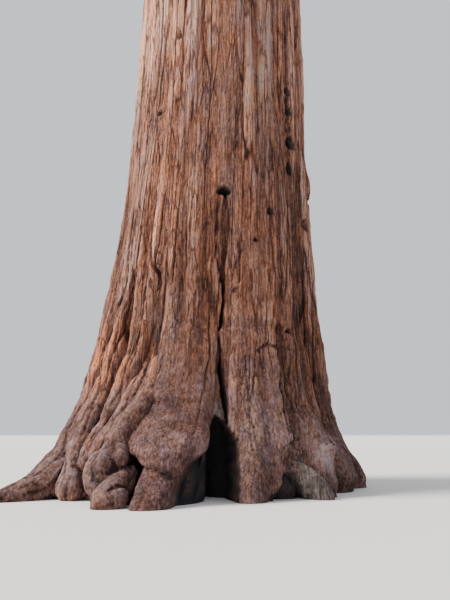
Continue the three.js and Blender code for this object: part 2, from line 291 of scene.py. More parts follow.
# Distance in metres from each point of the surface to a path of (angle, height)
def pathDistance(angle, height, radius, path):
    nearest = np.full(np.broadcast(angle, height).shape, 9.0)
    for (turnA, levelA), (turnB, levelB) in zip(path[:-1], path[1:]):
        ax, ay = angleFrom(angle, turnA) * radius, height - levelA
        bx, by = math.radians(turnB - turnA) * radius, levelB - levelA
        along = np.clip((ax * bx + ay * by) / (bx * bx + by * by), 0, 1)
        nearest = np.minimum(nearest, np.hypot(ax - along * bx, ay - along * by))
    return nearest


# A value that changes with height, from pairs of height and value
def between(pairs, height):
    levels, values = zip(*pairs)
    return np.interp(height, levels, values)


# The knee left of the hollow: a rounded lobe between its two edges, and how far each point is inside it
def kneeLift(angle, height):
    left, right = between(kneeLeft, height), between(kneeRight, height)
    middle, half = (left + right) / 2, (right - left) / 2
    across = np.clip(np.abs(angleFrom(angle, middle)) / np.radians(half), 0, 1)
    return between(kneeProfile, height) * (1 - across ** 4) ** 0.5


# Behind the surface roots the trunk stands back, most of all in the gap beside the knee
def recessDepth(angle, height):
    left = between(kneeLeft, height)
    beside = np.degrees(-angleFrom(angle, left))
    shade = smooth(0, 1.2, beside) * (beside < 90)
    wide = shade * smooth(recess["from"] - 5, recess["from"] + 5, np.degrees(angleFrom(angle, 0)))
    gap = shade * smooth(recess["gapWidth"] + 2, recess["gapWidth"] - 2, beside)
    gap = gap * smooth(recess["gapTop"] + 0.12, recess["gapTop"] - 0.08, height)
    deep = recess["depth"] * wide * smooth(recess["top"], recess["top"] - 0.4, height)
    return deep + recess["gapDepth"] * gap, gap


# The outline with its big forms: the knee, the swells, the creases, the seam's valley and the tucked-in toes
def formedRadius(angle, height):
    radius = trunkRadius(angle, height)
    radius = radius + kneeLift(angle, height) - recessDepth(angle, height)[0]
    for turn, level, halfTurn, halfHeight, lift in swells:
        across = angleFrom(angle, turn) / math.radians(halfTurn)
        radius = radius + lift * np.exp(-across ** 2 - ((height - level) / halfHeight) ** 2)
    for halfWidth, depth, path in valleys:
        radius = radius - depth * bump(pathDistance(angle, height, radius, path), halfWidth)
    toSeam = angleFrom(angle, between(seamPath, height)) * radius
    valley = smooth(seam["grooveHigh"] + 0.6, seam["high"] - 0.4, height)
    radius = radius - seam["valleyDepth"] * bump(toSeam, seam["valleyWidth"]) * valley
    radius = radius - undercut["depth"] * underBurl(angle, height)
    return radius - toeTuck["depth"] * bump(height, toeTuck["height"])


def underBurl(angle, height):
    across = np.clip(np.abs(angleFrom(angle, undercut["angle"])) / math.radians(undercut["halfAngle"]), 0, 1)
    ceiling = undercut["top"] * (1 - across ** 2)
    return smooth(ceiling + 0.02, ceiling - 0.05, height) * (across < 1)


# Inside the hollow, on the scorched face beside it, and how far to the right each point is
def hollowMasks(angle, height, radius):
    x = trunkCentre(height) + radius * np.sin(angle)
    level = np.clip(height / hollow["top"], 0, 1)
    ragged = 0.010 * latticeNoise(height * 9, angle * 30, 5)
    left = hollow["left"] + hollow["lean"] * level ** 5 + ragged
    right = hollow["right"] - hollow["narrowing"] * level ** 6 + ragged
    front = np.cos(angle) > 0
    inside = smooth(left - 0.010, left + 0.010, x) * smooth(right + 0.010, right - 0.010, x)
    inside = inside * (front * (height < hollow["top"]))
    fromKnee = angleFrom(angle, between(kneeRight, height)) * radius
    scorch = smooth(-0.01, 0.02, fromKnee) * (x < hollow["right"]) * front
    scorch = scorch * smooth(hollow["scorchTop"] + 0.06, hollow["scorchTop"] - 0.02, height)
    return inside, scorch * (1 - inside), x


bark = {"ropes": 30, "ropeLength": 5, "ropeDepth": 0.030, "plates": 74, "plateLength": 2.6,
        "plateDepth": 0.024, "strips": 210, "stripLength": 0.75, "stripDepth": 0.010, "slabDepth": 0.040,
        "fibres": 520, "fibreLength": 0.07, "fibreDepth": 0.004, "pillars": 90, "pillarLength": 0.5}
# The last tone spot is painted light: it lightens the slope of the seam's valley against its shade
toneSpots = [  # how much lighter, turn, half width, height, half height
    (-0.07, -12, 18, 1.8, 0.8), (0.035, 28, 16, 2.9, 1.4), (0.12, 0.5, 3.5, 2.6, 0.4),
]


# Painted sunlight: the orange lit patches low on the left of the trunk
def sunlitFlank(angle, height):
    sunlitPatch = patch(angle, height, -58, 18, 1.75, 0.55)
    sunlitPatch = np.maximum(sunlitPatch, 0.8 * patch(angle, height, -23.7, 4, 1.30, 0.14))
    return np.maximum(sunlitPatch, 0.7 * patch(angle, height, -36, 5, 1.75, 0.30))


# The dark red strips: under the chain of holes and under the big hole
def redStrip(angle, height):
    strip = facing(angle, 47.5, 2.6) * smooth(4.2, 4.7, height)
    return np.maximum(strip, 0.8 * patch(angle, height, 5.8, 2.4, 3.3, 0.55))


# The smooth fronts right of the seam and over the knee
def frontPanels(angle):
    return np.maximum(facing(angle, 22, 15), facing(angle, -11, 13))


# Where the bark lies smooth: a band above the big hole, the panel right of the seam and the knee
def plainShare(angle, height):
    plainBand = facing(angle, 3.5, 4.5) * smooth(3.9, 4.4, height)
    panel = patch(angle, height, 22, 15, 2.3, 1.4)
    kneePanel = patch(angle, height, -11, 16, 1.25, 0.85)
    return np.maximum(0.75 * np.maximum(plainBand, panel), 0.84 * kneePanel)


# Height of the bark above its furrows, and how light each point is
def barkRelief(angle, height):
    near, low = smooth(4.2, 1.2, height), smooth(0.2, 1.6, height)
    turn = turnShare(angle)
    noise = skinNoise(turn, height)
    turn = turn + (0.0030 + 0.0035 * near) * noise(9, 0.5, 11)
    turn = turn + (0.0014 + 0.0018 * near) * noise(26, 1.7, 12)
    turn = turn + (0.0006 + 0.0007 * near) * noise(70, 6, 13)
    noise = skinNoise(turn, height)
    ropes = smooth(0, 0.70, cellPlates(turn, height, bark["ropes"], bark["ropeLength"], 21))
    border, level = cellPattern(turn, height, bark["plates"], bark["plateLength"], 22)
    edge, shade = cellPattern(turn, height, bark["strips"], bark["stripLength"], 23)
    flanks = np.maximum(facing(angle, -62, 26), facing(angle, 66, 20))
    opened = smooth(-0.35, 0.25, noise(52, 0.9, 37) + 0.7 * flanks)
    gap = 0.08 + 0.12 * smooth(-0.4, 0.6, noise(18, 0.8, 25))
    plates = 1 - (1 - smooth(0, gap, border)) * mixNumbers(0.12, 1, opened)
    strips = 1 - (1 - smooth(0, 0.22, edge)) * smooth(-0.5, 0.5, noise(90, 1.6, 38))
    slabs = (level - 0.5) * smooth(0, 0.30, border) + 0.35 * (shade - 0.5) * smooth(0, 0.3, edge)
    fibres = latticeNoise(turn * bark["fibres"], height / bark["fibreLength"], 24, bark["fibres"])
    wrinkle = noise(40, 7, 31) + 0.7 * noise(110, 15, 32)
    folds = noise(22, 2.2, 33) + noise(44, 4.5, 35)
    creases = noise(15, 8, 39) + 0.6 * noise(34, 16, 40)
    knobbly = noise(46, 5, 69) + 0.6 * noise(100, 12, 70)
    calm = plainShare(angle, height)
    left = facing(angle, -45, 38) * smooth(4.8, 2.5, height)
    right = facing(angle, 66, 22) * smooth(7.5, 3.5, height) * smooth(0.7, 1.4, height)
    burl = patch(angle, height, 45, 7, 0.52, 0.36)

    ropeDepth = bark["ropeDepth"] * (1 + 1.3 * left + right) * (1 - calm) * mixNumbers(0.5, 1, low)
    plateDepth = bark["plateDepth"] * (1 + 0.5 * left + 0.7 * right) * (1 - calm) * mixNumbers(0.35, 1, low)
    relief = ropeDepth * (ropes - 0.6) + plateDepth * (plates - 0.8) + bark["fibreDepth"] * fibres
    fineRelief = bark["stripDepth"] * (strips - 0.7) * (1 - 0.5 * calm)
    relief = relief + (fineRelief + bark["slabDepth"] * slabs * (1 - calm)) * mixNumbers(0.5, 1, low)
    folded = 0.022 * near * (1 - 0.75 * left * smooth(1.3, 2.1, height))
    relief = relief + (0.004 + 0.006 * near) * wrinkle + folded * folds + 0.019 * near * calm * creases
    relief = relief + 0.030 * burl * knobbly

    tone = 0.52 + (0.24 + 0.06 * right) * (ropes - 0.6) * (1 - calm) + 0.07 * noise(36, 1.3, 34)
    tone = tone + 0.06 * noise(24, 0.13, 36)
    ridge = (tone + 0.18 * slabs) * mixNumbers(0.24, 1, plates) * mixNumbers(0.64, 1.02, strips)
    ridge = mixNumbers(ridge, 0.43 + 0.13 * strips * plates + 0.13 * creases * near, 0.7 * calm)
    ridge = mixNumbers(0.46 + 0.12 * wrinkle + 0.13 * folds, ridge, mixNumbers(0.35, 1, low))
    # Painted light: a sunlit patch high on the left, and the tone lighter higher up and darker low down,
    # painted shade on the lower trunk
    sunlit = facing(angle, -48, 20) * smooth(5.6, 7.0, height)
    ridge = ridge + 0.02 + 0.15 * (smooth(2.0, 6.5, height) - 0.5) + sunlit * (0.37 + 1.1 * (ridge - 0.4))
    # Painted light from the left: bark facing left is lighter, and the sunlit patches lighter still
    ridge = ridge + 0.06 * facing(angle, -55, 24) * smooth(1.5, 3.0, height)
    ridge = ridge - 0.06 * bump(height - 1.7, 0.9) + 0.14 * sunlitFlank(angle, height)
    for lighter, *place in toneSpots:
        ridge = ridge + lighter * patch(angle, height, *place)
    # On the right flank the tone has more contrast, here and in the ropes' tone above: painted shade in the
    # furrows and painted highlights on the ridges of the shaded side
    ridge = ridge + 0.5 * right * (ridge - 0.34) + 0.09 * frontPanels(angle) * bump(height - 0.9, 0.65)
    ridge = ridge - (0.20 + 0.06 * noise(90, 1.1, 43)) * redStrip(angle, height)
    return relief, ridge + 0.10 * burl * knobbly + 0.05 * fibres


def gridNormals(points):
    along = np.roll(points, -1, axis=1) - np.roll(points, 1, axis=1)
    up = np.gradient(points, axis=0)
    normals = np.cross(along, up)
    return normals / np.maximum(np.linalg.norm(normals, axis=2, keepdims=True), 1e-9)


def around(count, frontShare, frontHalf):
    front = int(count * frontShare)
    edges = np.linspace(-frontHalf, frontHalf, front, endpoint=False)
    back = np.linspace(frontHalf, 360 - frontHalf, count - front, endpoint=False)
    return np.radians(np.concatenate([edges, back]))


def placed(angle, height, radius):
    x = trunkCentre(height) + radius * np.sin(angle)
    y = -radius * np.cos(angle)
    return np.stack([x, y, np.broadcast_to(height, radius.shape)], axis=2)


# The bark surface: its points, how light each is, how charred and painted black as shade, and where bare wood
# shows
def shapeTrunk(angles, heights):
    angle, height = angles[None, :], heights[:, None]
    radius = formedRadius(angle, height)
    relief, ridge = barkRelief(angle, height)
    dark = np.zeros(radius.shape)
    broken = 0.65 + 0.35 * latticeNoise(angle * 9, height * 6, 47)
    for halfWidth, depth, path in barkCracks:
        away = pathDistance(angle, height, radius, path) + 0.016 * latticeNoise(angle * 50, height * 9, 45)
        relief = relief - depth * broken * bump(away, halfWidth)
        # Each crack is painted darker and, along its middle, near black: painted shade in the crack, and
        # under the knee's top the painted shadow of its fold
        ridge = ridge * (1 - min(0.7, depth * 20) * broken * bump(away, halfWidth * 0.7))
        dark = np.maximum(dark, min(0.6, depth * 9) * broken * bump(away, halfWidth * 0.55))
    for turn, level, wide, tall, depth, black in holes:
        across = angleFrom(angle, turn) * radius / wide
        far = np.hypot(across, (height - level) / tall + 0.35 * across ** 2)
        far = far + 0.15 * latticeNoise(angle * 26, height * 18, 46)
        far = far + 0.10 * latticeNoise(angle * 60, height * 40, 48)
        relief = relief * (1 - 0.8 * bump(far, 1.3)) + 0.013 * bump(far - 1.5, 0.40)
        ridge = mixNumbers(ridge, 0.42, 0.65 * bump(far, 2.0))
        radius = radius - depth * smooth(1.08, 0.5, far)
        # The inside of each hole is painted black by its share: painted shade in the hole
        dark = np.maximum(dark, black * smooth(1.35, 0.85, far))

    inside, scorch, x = hollowMasks(angle, height, radius)
    toSeam = np.abs(angleFrom(angle, between(seamPath, height))) * radius
    uneven = 1 + 0.5 * latticeNoise(height * 5, 2.5, 41)
    fading = smooth(seam["high"], seam["high"] - 1.0, height)
    crackWidth = seam["width"] * uneven * mixNumbers(0.42, 1, fading)
    crackSpan = smooth(seam["low"], seam["low"] + 0.06, height)
    crackSpan = crackSpan * smooth(seam["high"], seam["high"] - 0.5, height)
    crack = smooth(crackWidth * 1.3, crackWidth * 0.4, toSeam) * crackSpan
    groove = bump(toSeam, 0.030) * smooth(seam["grooveHigh"] + 0.1, seam["grooveHigh"] - 0.1, height)
    groove = groove * smooth(1.0, 2.6, height) * (0.7 + 0.3 * latticeNoise(height * 4, 7.5, 42))
    # The seam's groove is painted darker, painted shade in the groove; around the seam below 3.6 m the tone
    # is painted lighter, painted light against the shade on the valley's slopes
    ridge = ridge * (1 - 0.5 * groove) + 0.09 * bump(toSeam, 0.17) * smooth(3.6, 2.8, height)
    openings = np.clip(inside + scorch + crack, 0, 1)
    wedge = smooth(0.10, 0.04, np.abs(x + 0.07)) * smooth(0.90, 0.96, height) * smooth(1.22, 1.08, height)
    wedge = 0.85 * wedge * (1 - openings) * (np.cos(angle) > 0)
    pillars = cellPlates(turnShare(angle), height, bark["pillars"], bark["pillarLength"], 51)
    gap = recessDepth(angle, height)[1]
    # Painted shade: the gap beside the knee and the hollow under the burl are painted near black
    dark = np.maximum(dark, np.maximum(0.75 * gap, 0.85 * underBurl(angle, height)))

    relief = relief * (1 - openings) * (1 - 0.8 * wedge)
    radius = radius - hollow["depth"] * inside * mixNumbers(0.6, 1.0, smooth(hollow["top"], 0.5, height))
    radius = radius - scorch * (hollow["scorchDepth"] - 0.10 * smooth(0, 0.5, pillars)) - 0.05 * wedge
    radius = radius - seam["depth"] * crack * (1 - inside) - 0.04 * groove
    radius = radius + 0.012 * latticeNoise(angle * 40, height * 12, 52) * np.maximum(inside, scorch)
    points = placed(angle, height, radius)
    points = points + gridNormals(points) * relief[:, :, None]
    points[:, :, 2] = np.maximum(points[:, :, 2], 0)
    points[0, :, 2] = heights[0]
    # Char inside the hollow and soot on the scorched face; the seam's crack is painted black too, painted
    # shade in the crack
    burntAndShaded = np.clip(inside + crack + scorch * (1 - 0.45 * smooth(0.2, 0.6, pillars)), 0, 1)
    return points, np.clip(ridge, 0, 1), np.maximum(dark, burntAndShaded), wedge


# Faces between neighbouring rings of points
def ringQuads(rows, columns):
    j = np.arange(columns)
    k = np.mod(j + 1, columns)
    i = np.arange(rows - 1)[:, None] * columns
    return np.stack([i + j, i + k, i + columns + k, i + columns + j], axis=2).reshape(-1, 4), j, k


def fan(first, second, centre):
    return np.stack([first, second, np.full(len(first), centre)], axis=1)


# A band of the trunk as a closed mesh: the bark, and a flat cap at each end that hides in its neighbour
def trunkBand(name, points, normals, fields):
    rows, columns = points.shape[:2]
    lowRing, highRing = points[0], points[-1]
    centres = np.array([lowRing.mean(axis=0), highRing.mean(axis=0)])
    vertices = np.concatenate([points.reshape(-1, 3), lowRing, highRing, centres])
    down, up = np.array([[0, 0, -1.0]]), np.array([[0, 0, 1.0]])
    ends = np.concatenate([np.repeat(down, columns, 0), np.repeat(up, columns, 0), down, up])
    quads, j, k = ringQuads(rows, columns)
    low, high, centre = rows * columns, (rows + 1) * columns, (rows + 2) * columns
    faces = [quads, fan(low + k, low + j, centre), fan(high + j, high + k, centre + 1)]
    padded = {field: np.concatenate([values.ravel(), values[0], values[-1], [0, 0]])
              for field, values in fields.items()}
    piece = meshFromArrays(name, vertices, faces, padded)
    piece.data.normals_split_custom_set_from_vertices(np.concatenate([normals.reshape(-1, 3), ends]).tolist())
    return piece


def addFields(mesh, fields):
    for field, values in fields.items():
        mesh.attributes.new(field, "FLOAT", "POINT").data.foreach_set("value", np.array(values, np.float32))


def meshFromArrays(name, vertices, faceGroups, fields):
    mesh = bpy.data.meshes.new(name)
    mesh.vertices.add(len(vertices))
    mesh.vertices.foreach_set("co", vertices.astype(np.float32).ravel())
    corners = np.concatenate([group.ravel() for group in faceGroups])
    sizes = np.concatenate([np.full(len(group), group.shape[1]) for group in faceGroups])
    mesh.loops.add(len(corners))
    mesh.loops.foreach_set("vertex_index", corners.astype(np.int32))
    mesh.polygons.add(len(sizes))
    mesh.polygons.foreach_set("loop_start", (np.cumsum(sizes) - sizes).astype(np.int32))
    mesh.update(calc_edges=True)
    mesh.polygons.foreach_set("use_smooth", np.ones(len(sizes), dtype=bool))
    addFields(mesh, fields)
    return addObject(name, mesh)


lowerTrunk = {"columns": 840, "frontShare": 0.66, "frontHalf": 100, "top": 8.8,
              "steps": ((0, 2.2, 0.020), (2.2, 6.2, 0.026), (6.2, 8.8, 0.040)), "bands": 4}
upperTrunk = {"columns": 288, "rows": 200, "start": 8.74}

angles = around(lowerTrunk["columns"], lowerTrunk["frontShare"], lowerTrunk["frontHalf"])
heights = np.concatenate([np.arange(low, high - step / 2, step) for low, high, step in lowerTrunk["steps"]]
                         + [[lowerTrunk["top"]]])
points, ridge, burntAndShaded, wood = shapeTrunk(angles, heights)
normals = gridNormals(points)
print("lower trunk shaped", points.shape)


# Bark materials

def newMaterial(name, roughness, colour=None):
    material = bpy.data.materials.new(name)
    material.use_nodes = True
    shader = material.node_tree.nodes["Principled BSDF"]
    shader.inputs["Roughness"].default_value = roughness
    shader.inputs["Specular IOR Level"].default_value = 0.25
    if colour:
        shader.inputs["Base Color"].default_value = (*colour, 1)
    return material, material.node_tree, shader


# A node with its inputs, where sockets are linked and values are set
def addNode(tree, kind, inputs=None, **settings):
    node = tree.nodes.new(kind)
    for key, value in settings.items():
        setattr(node, key, value)
    for key, value in (inputs or {}).items():
        if isinstance(value, bpy.types.NodeSocket):
            tree.links.new(value, node.inputs[key])
        else:
            node.inputs[key].default_value = value
    return node


def attributeOf(tree, name):
    return addNode(tree, "ShaderNodeAttribute", attribute_name=name).outputs["Fac"]


def objectPlace(tree):
    return addNode(tree, "ShaderNodeTexCoord").outputs["Object"]


def stretched(tree, place, stretch):
    return addNode(tree, "ShaderNodeMapping", {"Vector": place, "Scale": (1, 1, stretch)}).outputs["Vector"]


def stretchedNoise(tree, scale, stretch, detail, roughness=0.6):
    inputs = {"Vector": stretched(tree, objectPlace(tree), stretch), "Scale": scale, "Detail": detail,
              "Roughness": roughness}
    return addNode(tree, "ShaderNodeTexNoise", inputs).outputs["Fac"]


# Thin upright cracks: 0 in a crack, 1 beside it, and broken up by a noise
def crackLines(tree, scale, stretch, width, share):
    place = objectPlace(tree)
    wobble = addNode(tree, "ShaderNodeTexNoise", {"Vector": place, "Scale": 3.5})
    bent = addNode(tree, "ShaderNodeVectorMath", {0: wobble.outputs["Color"], 1: (0.045, 0.045, 0), 2: place},
                   operation="MULTIPLY_ADD")
    cells = addNode(tree, "ShaderNodeTexVoronoi", {"Vector": stretched(tree, bent.outputs[0], stretch),
                                                   "Scale": scale}, feature="DISTANCE_TO_EDGE")
    line = calculated(tree, "MULTIPLY", cells.outputs["Distance"], 1 / width, clamped=True)
    patchy = stretchedNoise(tree, 5, 0.35, 3)
    kept = calculated(tree, "MULTIPLY_ADD", patchy, 6, 3 * (share - 1) - share, clamped=True)
    return calculated(tree, "MAXIMUM", line, calculated(tree, "SUBTRACT", 1, kept))


def colourRamp(tree, fac, stops):
    ramp = addNode(tree, "ShaderNodeValToRGB", {"Fac": fac})
    while len(ramp.color_ramp.elements) < len(stops):
        ramp.color_ramp.elements.new(0.5)
    for element, (position, colour) in zip(ramp.color_ramp.elements, stops):
        element.position = position
        element.color = (*colour, 1)
    return ramp.outputs["Color"]


def calculated(tree, operation, *values, clamped=False):
    node = addNode(tree, "ShaderNodeMath", dict(enumerate(values)), operation=operation, use_clamp=clamped)
    return node.outputs[0]


def mixedValue(tree, fac, a, b):
    return addNode(tree, "ShaderNodeMix", {0: fac, 2: a, 3: b}, data_type="FLOAT").outputs[0]


def blended(tree, fac, a, b, mode="MIX"):
    a, b = [(*colour, 1) if isinstance(colour, tuple) else colour for colour in (a, b)]
    return addNode(tree, "ShaderNodeMix", {0: fac, 6: a, 7: b}, data_type="RGBA", blend_type=mode).outputs[2]


barkTones = {
    "dry": [(0.04, (0.022, 0.008, 0.006)), (0.20, (0.078, 0.030, 0.020)), (0.42, (0.192, 0.083, 0.053)),
            (0.66, (0.330, 0.184, 0.137)), (1, (0.58, 0.41, 0.355))],
    "wornAndShaded": [(0.30, (0.026, 0.012, 0.011)), (0.42, (0.085, 0.044, 0.042)), (0.54, (0.158, 0.096, 0.098)),
             (0.74, (0.33, 0.245, 0.255))],
    "shade": [(0.3, (0.70, 0.66, 0.65)), (0.7, (1, 1, 1))],
    "warmAndCool": [(0.38, (1.16, 1, 0.76)), (0.62, (0.92, 1, 1.16))],
    "specks": [(0.30, (0.34, 0.30, 0.29)), (0.42, (1, 1, 1))],
    "wood": [(0.40, (0.045, 0.030, 0.026)), (0.62, (0.190, 0.155, 0.142))],
    "grey": (0.37, 0.285, 0.275), "warm": (1.75, 1.12, 0.66), "charAndShade": (0.014, 0.0128, 0.015),
}


def barkMaterial():
    material, tree, shader = newMaterial("furrowedBark", 0.92)
    calm, plain, grey, warm, burntAndShaded, wood, ridge = [
        attributeOf(tree, name) for name in ("calm", "plain", "grey", "warm", "burntAndShaded", "wood", "ridge")]

    def added(a, b):
        return calculated(tree, "ADD", a, b)

    def scaled(value, factor, shift=0, clamped=False):
        return calculated(tree, "MULTIPLY_ADD", value, factor, shift, clamped=clamped)

    def toned(value, name):
        return colourRamp(tree, value, barkTones[name])

    def multiplied(fac, a, b):
        return blended(tree, fac, a, b, "MULTIPLY")

    fine = mixedValue(tree, calm, stretchedNoise(tree, 36, 0.13, 7, 0.80),
                      stretchedNoise(tree, 30, 0.60, 8, 0.70))
    grain = stretchedNoise(tree, 62, 0.45, 3)
    speckled = added(scaled(fine, 1.35, -0.675), scaled(grain, 0.5, -0.25))
    lines = crackLines(tree, 16, 0.055, 0.10, 0.50)
    lineShare = mixedValue(tree, plain, scaled(lines, 0.66, 0.34), scaled(lines, 0.10, 0.90))
    ridgeNow = calculated(tree, "MULTIPLY", lineShare, added(ridge, speckled))
    mottle = stretchedNoise(tree, 6.5, 0.8, 5)
    wornAndShaded = added(scaled(mottle, 0.45, -0.01), added(scaled(ridgeNow, 0.5), scaled(fine, 0.3, -0.15)))
    # Low down the colour comes from the darker, duller palette: worn bark, with painted shade on the lower
    # trunk
    colour = blended(tree, calm, toned(ridgeNow, "dry"), toned(wornAndShaded, "wornAndShaded"))
    greyNow = calculated(tree, "MULTIPLY", grey, scaled(ridgeNow, 2.3, -0.30, True))
    colour = blended(tree, greyNow, colour, barkTones["grey"])
    # The warm tint brightens as well as colours: the bark's own orange, and painted sunlight where the warm
    # field marks the lit left
    warmNow = calculated(tree, "MULTIPLY", warm, scaled(ridgeNow, 3.2, -0.85, True))
    colour = multiplied(warmNow, colour, barkTones["warm"])
    colour = multiplied(1, colour, toned(stretchedNoise(tree, 1.4, 0.30, 3), "shade"))
    colour = multiplied(0.85, colour, toned(stretchedNoise(tree, 6, 0.45, 5, 0.7), "warmAndCool"))
    colour = multiplied(scaled(calm, -0.35, 0.8), colour, toned(grain, "specks"))
    colour = blended(tree, wood, colour, toned(stretchedNoise(tree, 30, 0.12, 4, 0.7), "wood"))
    # Char, and near black painted shade in the cracks, holes and gaps
    colour = blended(tree, burntAndShaded, colour, barkTones["charAndShade"])
    tree.links.new(colour, shader.inputs["Base Color"])
    rough = added(added(fine, scaled(grain, 0.4)), scaled(lineShare, 0.5))
    relief = addNode(tree, "ShaderNodeBump", {"Strength": 0.9, "Distance": 0.02, "Height": rough})
    tree.links.new(relief.outputs["Normal"], shader.inputs["Normal"])
    return material


furrowedBark = barkMaterial()


# How grey and how warm the bark is
def surfaceTones(angle, height, ridge):
    turn = turnShare(angle)
    noise = skinNoise(turn, height)
    streaks, patches = 0.5 + 0.5 * noise(70, 0.5, 61), 0.5 + 0.5 * noise(14, 0.6, 62)
    flakes = smooth(-0.15, 0.45, noise(230, 2.4, 65) + 0.4 * noise(90, 0.8, 66))
    sunlitPatch = sunlitFlank(angle, height)

    grey = smooth(0.35, 0.85, ridge) * smooth(0.42, 0.85, 0.55 * streaks + 0.45 * patches)
    grey = grey * (0.45 + 0.55 * flakes)
    paleStreak = facing(angle, 29 + 1.9 * np.clip(height - 4.2, 0, 3.4), 2.3)
    grey = grey + (0.15 + 0.85 * flakes) * paleStreak * smooth(3.2, 5.2, height)
    coolFlecks = smooth(0.15, 0.65, noise(130, 0.55, 71)) * smooth(2.0, 4.0, height)
    grey = (grey + 0.35 * coolFlecks * (0.3 + 0.7 * flakes)) * (1 - redStrip(angle, height))
    kneeStreak = facing(angle, -20.3 + 3.5 * np.maximum(height - 2.1, 0), 1.4)
    kneeStreak = np.maximum(kneeStreak, 0.7 * facing(angle, -15.5, 2.2)) * bump(height - 1.95, 0.7)
    panelStreak = patch(angle, height, 17, 2.8, 1.2, 0.5)
    panelStreak = np.maximum(panelStreak, patch(angle, height, 21, 0.8, 1.68, 0.14))
    grey = grey + 0.65 * (0.3 + 0.7 * flakes) * np.maximum(kneeStreak, panelStreak)
    grey = grey + 0.3 * smooth(0.45, 0.9, patches) * (1 - smooth(0.8, 1.8, height))
    grey = grey * (1 - 0.6 * calmShare(angle, height)) * (1 - 0.7 * sunlitPatch)
    burlGrey = patch(angle, height, 46, 6, 0.56, 0.34)
    grey = grey + (0.12 + 0.45 * smooth(-0.4, 0.6, noise(120, 9, 68))) * burlGrey

    # How warm: random patches and plates are the bark's own orange; the sunlit patches low on the left and
    # the band high on the left are painted sunlight
    warmPatch = smooth(0.62, 0.95, 0.5 + 0.5 * noise(10, 0.9, 63))
    high = facing(angle, -66, 10) * smooth(6.2, 7.4, height)
    warmPlates = smooth(-0.1, 0.6, noise(64, 0.45, 67))
    upperLeft = facing(angle, -42, 34) * smooth(2.2, 4.0, height)
    warm = 0.30 * warmPatch * ridge + 0.85 * sunlitPatch * smooth(0.25, 0.6, ridge) + 0.5 * high * ridge
    warm = warm + (0.20 + 0.25 * upperLeft) * warmPlates * smooth(1.5, 3.0, height)
    warm = warm + 0.35 * patch(angle, height, 25, 8, 1.65, 0.45)
    return np.clip(grey, 0, 1), np.clip(warm, 0, 1)


# Low down the bark is worn smooth and mottled, and painted in a darker, duller palette: painted shade on the
# lower trunk
def calmShare(angle, height):
    uneven = skinNoise(turnShare(angle), height)(20, 1.6, 64)
    return 0.85 * (1 - smooth(0.3, 2.3, height - 0.50 * frontPanels(angle) + 0.40 * uneven))


def trunkFields(angles, heights, ridge, burntAndShaded, wood):
    angle, height = angles[None, :], heights[:, None]
    grey, warm = surfaceTones(angle, height, ridge)
    calm = calmShare(angle, height)
    plain = np.maximum(plainShare(angle, height), 0.7 * calm)
    return {"ridge": ridge, "grey": grey, "warm": warm, "burntAndShaded": burntAndShaded, "wood": wood, "calm": calm,
            "plain": plain}


fields = trunkFields(angles, heights, ridge, burntAndShaded, wood)
trunkPieces = []
cuts = np.linspace(0, len(heights) - 1, lowerTrunk["bands"] + 1).astype(int)
for number, (low, high) in enumerate(zip(cuts[:-1], cuts[1:]), 1):
    rows = slice(low, high + 1)
    bandFields = {field: values[rows] for field, values in fields.items()}
    trunkPieces.append(trunkBand("trunk_bark_%d" % number, points[rows], normals[rows], bandFields))

upperHeights = np.linspace(upperTrunk["start"], trunk["top"], upperTrunk["rows"])
upperAngles = np.radians(np.linspace(-180, 180, upperTrunk["columns"], endpoint=False))
upperPoints, upperRidge, upperBurntAndShaded, upperWood = shapeTrunk(upperAngles, upperHeights)
fields = trunkFields(upperAngles, upperHeights, upperRidge, upperBurntAndShaded, upperWood)
trunkPieces.append(trunkBand("trunk_bark_upper", upperPoints, gridNormals(upperPoints), fields))

for piece in trunkPieces:
    piece.data.materials.append(furrowedBark)
    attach(piece, "root")
    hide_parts("trunk")
print("trunk pieces made")


# Surface roots on the left of the flare: bent runs and knobs that are run together into one skin

